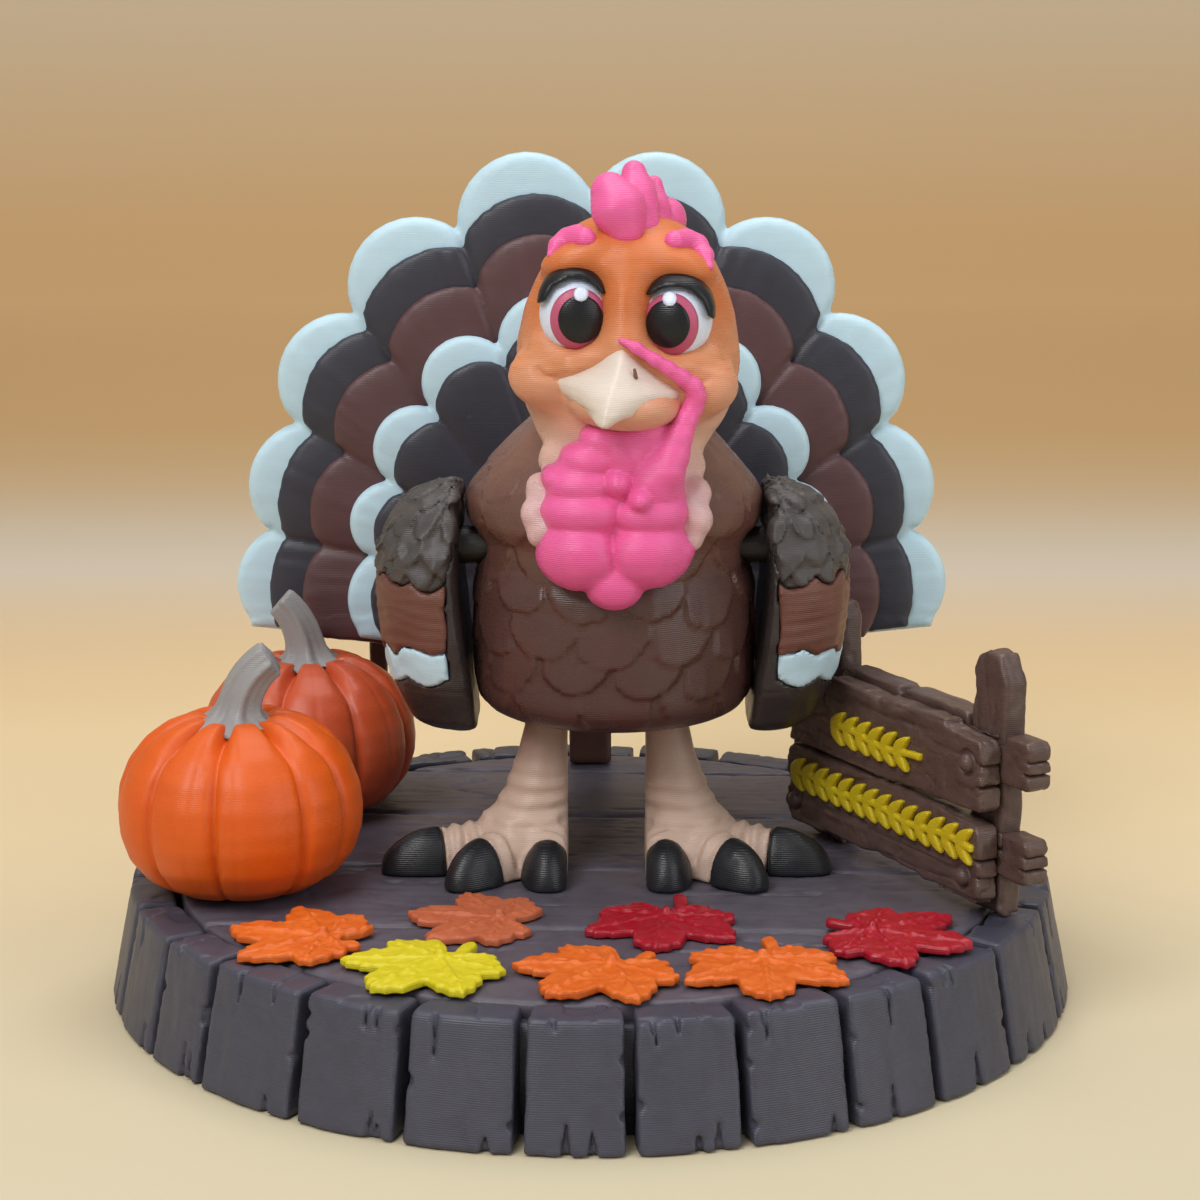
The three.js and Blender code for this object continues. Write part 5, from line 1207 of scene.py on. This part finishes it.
def make_comb():
    grid, places = samples((-1.6, -17.2, 74.0), (12.4, 1.0, 85.0), 0.22)
    rear = ellipsoid(places, (7.6, -4.3, 78.5), (1.9, 2.6, 2.2))
    comb = union([*(tube(places, *lobe) for lobe in COMB_LOBES), rear], 0.12)
    comb = smax(comb, -(skull_field(head_local(places)) + 1.0), 0.2)
    add_head_piece("comb_lobes", np.maximum(comb, places[2] - 84.5), grid, "comb_pink", "comb")


# Beak. Its edge on each side and its crest, from the top down: across, depth and height from the pivot
BEAK_EDGES = {
    -1: [(0.0, -13.0, 5.4), (-0.8, -12.8, 5.15), (-1.5, -12.55, 4.6), (-2.2, -12.25, 3.9), (-3.0, -12.0, 3.25),
         (-4.1, -11.7, 2.75), (-5.2, -11.4, 2.4), (-6.2, -11.1, 2.1), (-6.6, -11.0, 1.4), (-6.1, -11.2, 0.55),
         (-5.0, -12.2, -0.15), (-3.6, -13.9, -0.6), (-2.7, -16.2, -1.1), (-1.9, -18.0, -1.7),
         (-1.35, -18.6, -1.95)],
    1: [(0.0, -13.0, 5.4), (0.7, -12.9, 5.05), (1.45, -12.5, 4.3), (2.4, -12.2, 3.5), (3.6, -11.8, 2.65),
        (5.2, -11.1, 1.8), (6.45, -10.7, 1.2), (6.3, -10.9, 0.7), (5.3, -11.8, 0.15), (3.9, -13.2, -0.4),
        (2.2, -15.3, -0.95), (0.7, -17.4, -1.15), (-0.1, -18.3, -1.5), (-0.7, -18.7, -1.95)],
}
BEAK_CREST = [(0.0, -13.2, 5.4), (-0.05, -14.6, 4.2), (-0.3, -16.5, 2.5), (-0.6, -18.0, 0.9),
              (-0.95, -18.9, -0.7), (-1.05, -19.0, -1.95)]


def make_beak():
    """The bill as one surface in front of its edge, with a soft crest, cut off behind."""
    grid, places = samples((-3.4, -23.4, 59.4), (10.6, -12.0, 68.2), (0.18, 0.18, 0.16))
    q = u, v, w = head_local(places)
    across, depths, levels = np.transpose(BEAK_CREST[::-1])
    crest_u, crest_v = np.interp(w, levels, across), np.interp(w, levels, depths)
    front = 0
    for side, edge in BEAK_EDGES.items():
        across, depths, levels = np.transpose(edge[::-1])
        edge_u, edge_v = smoothed(levels, across, w, 2), smoothed(levels, depths, w, 2)
        share = np.clip(np.abs(u - crest_u) / np.maximum(np.abs(edge_u - crest_u), 0.25), 0, 1)
        depth = edge_v + (crest_v - edge_v) * (0.65 * np.cos(share * math.pi / 2) + 0.35 * (1 - share))
        front = np.where((u - crest_u) * side >= 0, depth, front)
    flat = polygon_distance(u, w, [p[::2] for p in BEAK_EDGES[1] + BEAK_EDGES[-1][:0:-1]])
    bill = np.maximum(smax(flat, (front - v) * 0.5, 0.55), v + 9.6)
    nostril = tube(q, [(1.35, -15.6, 3.5), (1.5, -15.4, 2.6)], [0.16, 0.22], 0.1)
    bill = smax(bill, -nostril, 0.12) - 0.03 * noise(u, v, w, 1.2, 521)
    add_head_piece("beak_shell", bill, grid, "beak_tan", "beak")

    grid, places = samples((3.4, -21.2, 63.8), (6.6, -16.0, 66.8), 0.1)
    pit = tube(head_local(places), [(1.36, -15.2, 3.4), (1.5, -15.0, 2.65)], [0.16, 0.22], 0.1)
    add_head_piece("nostril_pit", pit, grid, "nostril_shade")


# Wattle and snood
WATTLE_RIM = [(-0.2, 59.4), (-0.9, 57.9), (-1.8, 56.8), (-3.1, 56.2), (-4.2, 54.7), (-4.2, 53.3), (-4.7, 51.4),
              (-4.4, 50.5), (-4.9, 49.3), (-4.9, 46.9), (-4.4, 45.2), (-3.4, 44.1), (-1.9, 43.4), (0.0, 43.3),
              (1.3, 42.7), (3.5, 42.7), (5.0, 43.3), (7.0, 43.8), (8.4, 44.7), (9.6, 46.4), (9.6, 48.4),
              (9.2, 50.0), (9.3, 52.0), (8.9, 54.9), (7.8, 56.2), (7.6, 58.3), (8.0, 60.2)]
# Cushions of the wattle: place across and up, half sizes, how far each stands out
WATTLE_LOBES = [
    (-1.4, 46.9, 4.3, 3.7, 2.5), (6.0, 47.0, 4.4, 3.6, 2.5), (2.35, 43.7, 3.3, 2.6, 1.7),
    (-1.2, 51.3, 4.3, 2.3, 2.1), (6.2, 51.1, 4.0, 2.2, 2.1), (-1.4, 54.1, 3.6, 2.0, 1.8),
    (-0.5, 56.5, 3.0, 1.9, 1.6), (1.1, 58.4, 2.7, 1.8, 1.4), (6.6, 54.6, 2.9, 3.3, 2.3),
    (3.6, 57.2, 2.2, 2.8, 1.6), (2.7, 54.4, 1.5, 1.5, 2.0), (4.9, 52.8, 1.5, 1.5, 2.9),
    (9.2, 47.4, 1.4, 1.5, 1.3), (-3.6, 54.6, 1.5, 1.4, 1.2), (5.6, 58.4, 2.4, 2.6, 1.4),
]
SNOOD = [(2.9, -17.7, 67.95), (4.4, -17.8, 67.2), (6.1, -17.75, 66.1), (7.5, -17.5, 65.2), (8.7, -17.2, 64.4),
         (9.8, -16.8, 63.5), (10.15, -16.5, 62.5), (9.85, -16.3, 61.4), (9.1, -16.6, 60.1), (8.4, -16.9, 58.6),
         (7.8, -17.0, 57.0), (7.3, -17.1, 55.6)]
SNOOD_RADII = [0.3, 0.5, 0.58, 0.64, 0.7, 0.78, 0.84, 0.88, 1.02, 1.3, 1.65, 1.9]


def make_wattle():
    grid, places = samples((-6.8, -21.0, 41.4), (12.4, -8.0, 69.8), 0.22)
    x, y, z = places
    radial = rod(x - AXIS_X, y, 0)
    flesh = np.interp(z, [42, 45, 48, 52, 56, 60], [15.3, 16.0, 16.7, 17.1, 16.9, 16.9])
    flat = polygon_distance(x, z, WATTLE_RIM)
    swell = 0.35
    for cx, cz, rx, rz, height in WATTLE_LOBES:
        across = ((x - cx) / rx) ** 2 + ((z - cz) / rz) ** 2
        swell = smax(swell, height * np.clip(1 - across, 0, 1) ** 0.62, 0.45)
        flat = smin(flat, (np.sqrt(across) - 1) * min(rx, rz) + 0.35, 0.3)
    crease = bell(x - 2.3 - 0.25 * np.sin(z), 0.4) * np.clip((51.5 - z) / 2, 0, 1)
    swell = swell - 0.3 * crease * np.clip((z - 45.3) / 1.5, 0, 1)
    wattle = smax(flat, (radial - flesh - swell) * 0.75, 1.0)
    wattle = smin(wattle, tube(places, SNOOD, SNOOD_RADII, 0.5), 0.6)
    wattle = np.maximum(wattle, np.where(z < 58, 14.4 - radial, -1e3))
    add_head_piece("wattle_lobes", wattle - 0.04 * noise(x, y, z, 1.5, 540), grid, "comb_pink", "wattle")


# Sign. Its own axes are across, back and up from a point on the base, and outlines are across and up
SIGN_O = np.array([29.45, -0.86, 0.0])
SIGN_TURN = turn_matrix(0, 0, -62)
BOARD_FRONT, BOARD_BACK = -2.55, -0.02
POST_PLACES = (-9.3, 19.0)
POST_HALF = 2.8
# Cuts are place across and up and half sizes, bolts are places, dips are levels of long grooves
BOARDS = {
    "upper": dict(
        low=(-13, -3.6, 21.9), high=(22.6, 0.2, 31.4), seed=601, bolts=[(19.5, 27.3)], dips=[24.6, 28.9],
        cuts=[(21.9, 25.2, 0.8, 0.1), (21.8, 27.3, 1.0, 0.1)],
        outline=[(-12.4, 22.5), (-4, 22.3), (6, 22.25), (14, 22.3), (17, 22.5), (21.4, 22.6), (21.9, 23.2),
                 (22.0, 25.0), (21.8, 25.3), (22.0, 25.6), (22.0, 26.9), (21.8, 27.2), (22.0, 27.5),
                 (22.0, 29.0), (21.3, 29.7), (17.0, 30.0), (16.0, 30.3), (15.6, 30.8), (13.4, 30.9),
                 (10.0, 30.7), (4.6, 30.7), (4.0, 30.4), (1.1, 30.8), (-1.0, 30.8), (-4.6, 30.95),
                 (-8.5, 28.0), (-12.4, 25.0)]),
    "lower": dict(
        low=(-13.5, -3.6, 12.8), high=(22.4, 0.2, 22.7), seed=631, bolts=[(19.3, 15.8), (-11.1, 15.9)],
        dips=[16.9], cuts=[(21.8, 16.0, 0.8, 0.1), (21.7, 17.9, 0.9, 0.1), (-12.8, 18.0, 0.8, 0.12)],
        outline=[(-12.6, 14.3), (-11.6, 13.5), (-4.3, 13.7), (4, 13.9), (11.7, 14.0), (12.6, 13.5),
                 (21.2, 13.4), (21.8, 14.0), (21.9, 15.4), (21.6, 15.7), (21.9, 16.0), (21.9, 17.3),
                 (21.6, 17.6), (21.9, 17.9), (21.8, 20.7), (21.2, 21.3), (17.0, 21.6), (13.8, 22.0),
                 (3, 22.1), (-6.0, 22.1), (-11.6, 22.2), (-12.6, 21.6), (-12.9, 20.6), (-12.9, 18.6),
                 (-12.4, 18.0), (-12.9, 17.4), (-13.0, 15.6)]),
}
POSTS = {
    "right": dict(low=(15.8, -0.2, 11.4), high=(22.2, 3.4, 38.4), seed=661,
                  outline=[(16.2, 11.9), (21.8, 11.9), (21.8, 35.1), (20.4, 37.9), (18.4, 38.0), (16.9, 37.3),
                           (16.2, 35.9)]),
    "left": dict(low=(-12.5, -0.2, 11.2), high=(-6.1, 3.4, 38.8), seed=671,
                 outline=[(-12.1, 11.7), (-6.5, 11.7), (-6.5, 36.6), (-7.5, 38.0), (-9.6, 38.3), (-11.4, 37.6),
                          (-12.1, 36.2)]),
}
# Seams are the place and lean of cuts down into a rail's upper edge
RAILS = {
    "upper": dict(low=(-13.6, -0.2, 24.8), high=(26.4, 3.4, 32.6), seed=681,
                  cuts=[(25.9, 27.0, 1.0), (26.0, 28.4, 0.7)], seams=[(-6.0, 0.3), (4.9, 0.35)],
                  outline=[(-13.2, 25.3), (-13.2, 31.2), (-12.6, 31.6), (-6.6, 31.6), (-6.0, 31.1),
                           (-5.4, 31.6), (4.4, 31.5), (4.9, 31.0), (5.4, 31.5), (12.7, 31.4), (15.6, 31.3),
                           (16.1, 31.0), (16.3, 30.3), (25.4, 30.3), (26.0, 29.7), (26.0, 25.9),
                           (25.4, 25.3)]),
    "lower": dict(low=(-13.6, -0.2, 15.4), high=(26.4, 3.4, 21.0), seed=691,
                  cuts=[(25.9, 17.6, 1.0), (26.0, 19.0, 0.8)], seams=[],
                  outline=[(-13.2, 15.9), (-13.2, 20.2), (-12.6, 20.6), (25.4, 20.6), (26.0, 20.0),
                           (26.0, 16.4), (25.4, 15.9)]),
}
SPRIGS = {
    "upper": dict(low=(-4.2, -3.4, 23.4), high=(13.2, -2.2, 28.4), start=-3.6, end=12.4, level=25.9),
    "lower": dict(low=(-12.0, -3.4, 16.6), high=(22.0, -2.2, 21.6), start=-11.2, end=21.2, level=19.2),
}
GRAIN_PITCH = 2.3
GRAIN_LENGTH = 2.9
GRAIN_HALF = 0.62
GRAIN_TURN = 38


def timber(shape, places, seed, along=0, depth=1.0):
    """Rough wood on a field: lengthwise grain, dents and softened edges."""
    stretched = list(places)
    stretched[along] = stretched[along] * 0.14
    shape = shape - depth * 0.10 * noise(*stretched, 0.55, seed)
    shape = shape - depth * 0.05 * noise(*places, 1.5, seed + 1)
    shape = shape + depth * 0.16 * bell(noise(*stretched, 1.3, seed + 4), 0.07)
    return shape + depth * 0.22 * np.clip(noise(*places, 0.6, seed + 2) - 0.35, 0, 1)


def board_field(places, outline, seed, cuts, bolts, dips):
    x, y, z = places
    middle, half = (BOARD_FRONT + BOARD_BACK) / 2, (BOARD_BACK - BOARD_FRONT) / 2
    flat = polygon_distance(x, z, outline) + 0.05 - 0.07 * noise(x, 0, z, 1.3, seed + 5)
    shape = timber(smax(flat, np.abs(y - middle) - half, 0.42), places, seed)
    face = np.clip((BOARD_FRONT + 1.2 - y) / 1.2, 0, 1)
    wander = 0.18 * noise(x, 0, 0, 3.0, seed + 8)
    for level in dips:
        line = np.abs(z - level - wander) - 0.02
        shape = shape + 0.20 * face * bell(line, 0.16) * (noise(x, 0, 0, 4.0, seed + 9) > -0.2)
    for cx, cz, length, thick in cuts:
        shape = smax(shape, -block(places, (cx, middle, cz), (length, half + 1, thick), 0.08), 0.2)
    for bx, bz in bolts:
        head = ellipsoid(places, (bx, BOARD_FRONT + 0.15, bz), (0.95, 0.85, 0.95))
        ring = ellipsoid(places, (bx, BOARD_FRONT + 0.1, bz), (1.35, 0.45, 1.35))
        shape = smin(smax(shape, -ring, 0.2), head, 0.15)
    return shape


def post_field(places, outline, seed):
    x, y, z = places
    shape = smax(polygon_distance(x, z, outline) + 0.05, np.abs(y - 1.6) - 1.3, 0.6)
    return timber(shape, places, seed, along=2)


def rail_field(places, outline, seed, cuts, seams):
    x, y, z = places
    flat = polygon_distance(x, z, outline) + 0.05 - 0.05 * noise(x, 0, z, 1.2, seed + 3)
    shape = timber(smax(flat, np.abs(y - 1.42) - 1.42, 0.35), places, seed, depth=0.7)
    for cx, cz, length in cuts:
        shape = smax(shape, -block(places, (cx, 1.6, cz), (length, 2.4, 0.1), 0.05), 0.2)
    for sx, lean in seams:
        cut = np.abs(x - sx - lean * (y - 1.6)) - 0.22
        shape = smax(shape, -np.maximum(cut, 30.6 - z), 0.3)
    for at in POST_PLACES:
        shape = np.maximum(shape, -np.maximum(np.abs(x - at) - POST_HALF - 0.1, 0.2 - y))
    return shape


def sprig_field(places, start, end, level):
    """A wavy stalk with a grain on each side at every step."""
    x, y, z = places
    stalk = np.abs(z - level - 0.25 * np.sin((x - start) * 0.5)) - 0.36
    flat = np.maximum(np.maximum(stalk, x - end), start - x)
    for i, hand in itertools.product(range(int((end - start) / GRAIN_PITCH)), (-1, 1)):
        a = math.radians(hand * GRAIN_TURN)
        dx = x - start - (i + 0.5) * GRAIN_PITCH
        dz = z - level - GRAIN_LENGTH / 2 * math.sin(a)
        along = (dx * math.cos(a) + dz * math.sin(a)) / (GRAIN_LENGTH / 2)
        across = (dz * math.cos(a) - dx * math.sin(a)) / (GRAIN_HALF * (1 - 0.35 * along))
        flat = smin(flat, rod(along, across, 1) * GRAIN_HALF, 0.12)
    return smax(flat, np.abs(y + 2.75) - 0.42, 0.3)


def make_sign():
    kinds = [("board", BOARDS, board_field, 0.22), ("post", POSTS, post_field, 0.26),
             ("rail", RAILS, rail_field, 0.25), ("sprig", SPRIGS, sprig_field, 0.16)]
    for kind, pieces, field_of, step in kinds:
        paint = "sprig_yellow" if kind == "sprig" else "sign_wood"
        for label, spec in pieces.items():
            grid, places = samples(spec["low"], spec["high"], step)
            looks = {key: value for key, value in spec.items() if key not in ("low", "high")}
            verts, faces = skin(field_of(places, **looks), grid)
            shape = verts @ SIGN_TURN.T + SIGN_O, faces
            add_piece(f"{kind}_{label}", shape, "stand", paint, f"sign_{kind}_{label}")


# Backdrop. Colours by distance behind the figure, in metres, and how much of its own glow the far part needs
FLOOR_BANDS = [(-0.3, (192, 190, 168)), (0.0, (208, 195, 164)), (0.075, (226, 203, 162)),
               (0.12, (228, 202, 158)), (0.155, (223, 194, 149)), (0.18, (217, 189, 147)),
               (0.215, (210, 188, 157)), (0.25, (205, 190, 170)), (0.29, (197, 180, 156)),
               (0.34, (191, 165, 130)), (0.4, (188, 156, 112)), (0.47, (188, 151, 103)),
               (0.9, (190, 153, 106))]
WALL_COLOUR = (192, 172, 142)
WALL_SPAN = (0.02, 0.15)
GLOW_START, GLOW_END, GLOW = 0.15, 0.9, 0.5
SWEEP_HALF = 2.5
SWEEP_FRONT, SWEEP_BACK, SWEEP_RADIUS, SWEEP_HEIGHT = -2.0, 0.9, 0.5, 2.6
FLOOR_DROP = 0.00005


def backdrop_paint():
    """Pale paper that turns warmer with distance. Seen directly or in a reflection, the far part glows
    a little, so that it isn't darker than the near part. It lights nothing else."""
    paint = Paint("sweep_paper")
    distance = paint.maths("MULTIPLY_ADD", paint.noise(2.5, 3.0), 0.05, paint.parts["Y"])
    wall = paint.span(paint.parts["Z"], *WALL_SPAN)
    colour = paint.mix(wall, paint.ramp(distance, FLOOR_BANDS), linear(WALL_COLOUR))
    path = paint.add("LightPath").outputs
    seen = paint.maths("MAXIMUM", path["Is Camera Ray"], path["Is Glossy Ray"])
    seen = paint.maths("MAXIMUM", seen, path["Is Transmission Ray"])
    glow = paint.maths("MULTIPLY", seen, paint.span(distance, GLOW_START, GLOW_END, GLOW))
    paint.feed(paint.shader, {"Base Color": colour, "Emission Color": colour, "Emission Strength": glow,
                              "Roughness": 0.8})
    return paint.material


def make_stage():
    """One sheet: floor, a round sweep, then the wall."""
    profile = [(y, 0.0) for y in np.linspace(SWEEP_FRONT, SWEEP_BACK, 30)]
    for a in np.linspace(0, math.pi / 2, 13)[1:]:
        profile.append((SWEEP_BACK + SWEEP_RADIUS * math.sin(a), SWEEP_RADIUS * (1 - math.cos(a))))
    profile.append((SWEEP_BACK + SWEEP_RADIUS, SWEEP_HEIGHT))
    points = [(x, y, z - FLOOR_DROP) for y, z in profile for x in (-SWEEP_HALF, SWEEP_HALF)]
    faces = [(2 * i, 2 * i + 1, 2 * i + 3, 2 * i + 2) for i in range(len(profile) - 1)]
    mesh = bpy.data.meshes.new("studio_sweep")
    mesh.from_pydata(points, [], faces)
    mesh.polygons.foreach_set("use_smooth", np.ones(len(mesh.polygons), bool))
    mesh.materials.append(backdrop_paint())
    obj = bpy.data.objects.new("studio_sweep", mesh)
    bpy.context.scene.collection.objects.link(obj)


# Lights and camera. A light has its place, the height that it looks at, its size, power and colour
SKY_COLOUR = (0.97, 0.985, 1.0, 1)
SKY_STRENGTH = 0.40
LIGHTS = {
    "key_light": ((-0.28, -0.42, 0.55), 0.04, 0.35, 3.0, (1.0, 0.99, 0.985)),
    "fill_light": ((0.5, -0.35, 0.3), 0.04, 0.4, 1.1, (0.95, 0.97, 1.0)),
    "top_light": ((0.05, 0.15, 0.7), 0.03, 0.5, 2.2, (1.0, 0.99, 0.97)),
}
CAMERA_PLACE = (0.00097, -0.252895, 0.0905)
CAMERA_DIP = 11.41
LENS, SENSOR = 75, 36


def make_lights():
    world = bpy.data.worlds.new("studio_world")
    bpy.context.scene.world = world
    world.use_nodes = True
    sky = world.node_tree.nodes["Background"].inputs
    sky["Color"].default_value = SKY_COLOUR
    sky["Strength"].default_value = SKY_STRENGTH
    for name, (place, aim, size, power, colour) in LIGHTS.items():
        lamp = bpy.data.lights.new(name, "AREA")
        lamp.shape = "RECTANGLE"
        lamp.size = lamp.size_y = size
        lamp.energy = power
        lamp.color = colour
        obj = bpy.data.objects.new(name, lamp)
        bpy.context.scene.collection.objects.link(obj)
        obj.location = place
        obj.rotation_euler = (Vector((0, 0, aim)) - Vector(place)).to_track_quat("-Z", "Y").to_euler()


def make_camera():
    camera = bpy.data.cameras.new("photo_camera")
    camera.sensor_width = SENSOR
    camera.lens = LENS
    camera.clip_start = 0.01
    obj = bpy.data.objects.new("photo_camera", camera)
    bpy.context.scene.collection.objects.link(obj)
    obj.location = CAMERA_PLACE
    obj.rotation_euler = (math.radians(90 - CAMERA_DIP), 0, 0)
    bpy.context.scene.camera = obj


bpy.context.scene.view_settings.view_transform = "Standard"
make_camera()
make_lights()
make_stage()
materials = {name: printed(name, **look) for name, look in PAINTS.items()}
make_base()
make_leaves()
make_pumpkins()
make_fan()
make_body()
make_feet()
for hand, hand_side in SIDES.items():
    make_wing(hand, hand_side)
    make_shoulder_pin(hand, hand_side)
make_skin()
for hand, hand_side in SIDES.items():
    make_eye(hand, hand_side)
for hand in SIDES:
    make_brow(hand)
make_comb()
make_beak()
make_wattle()
make_sign()
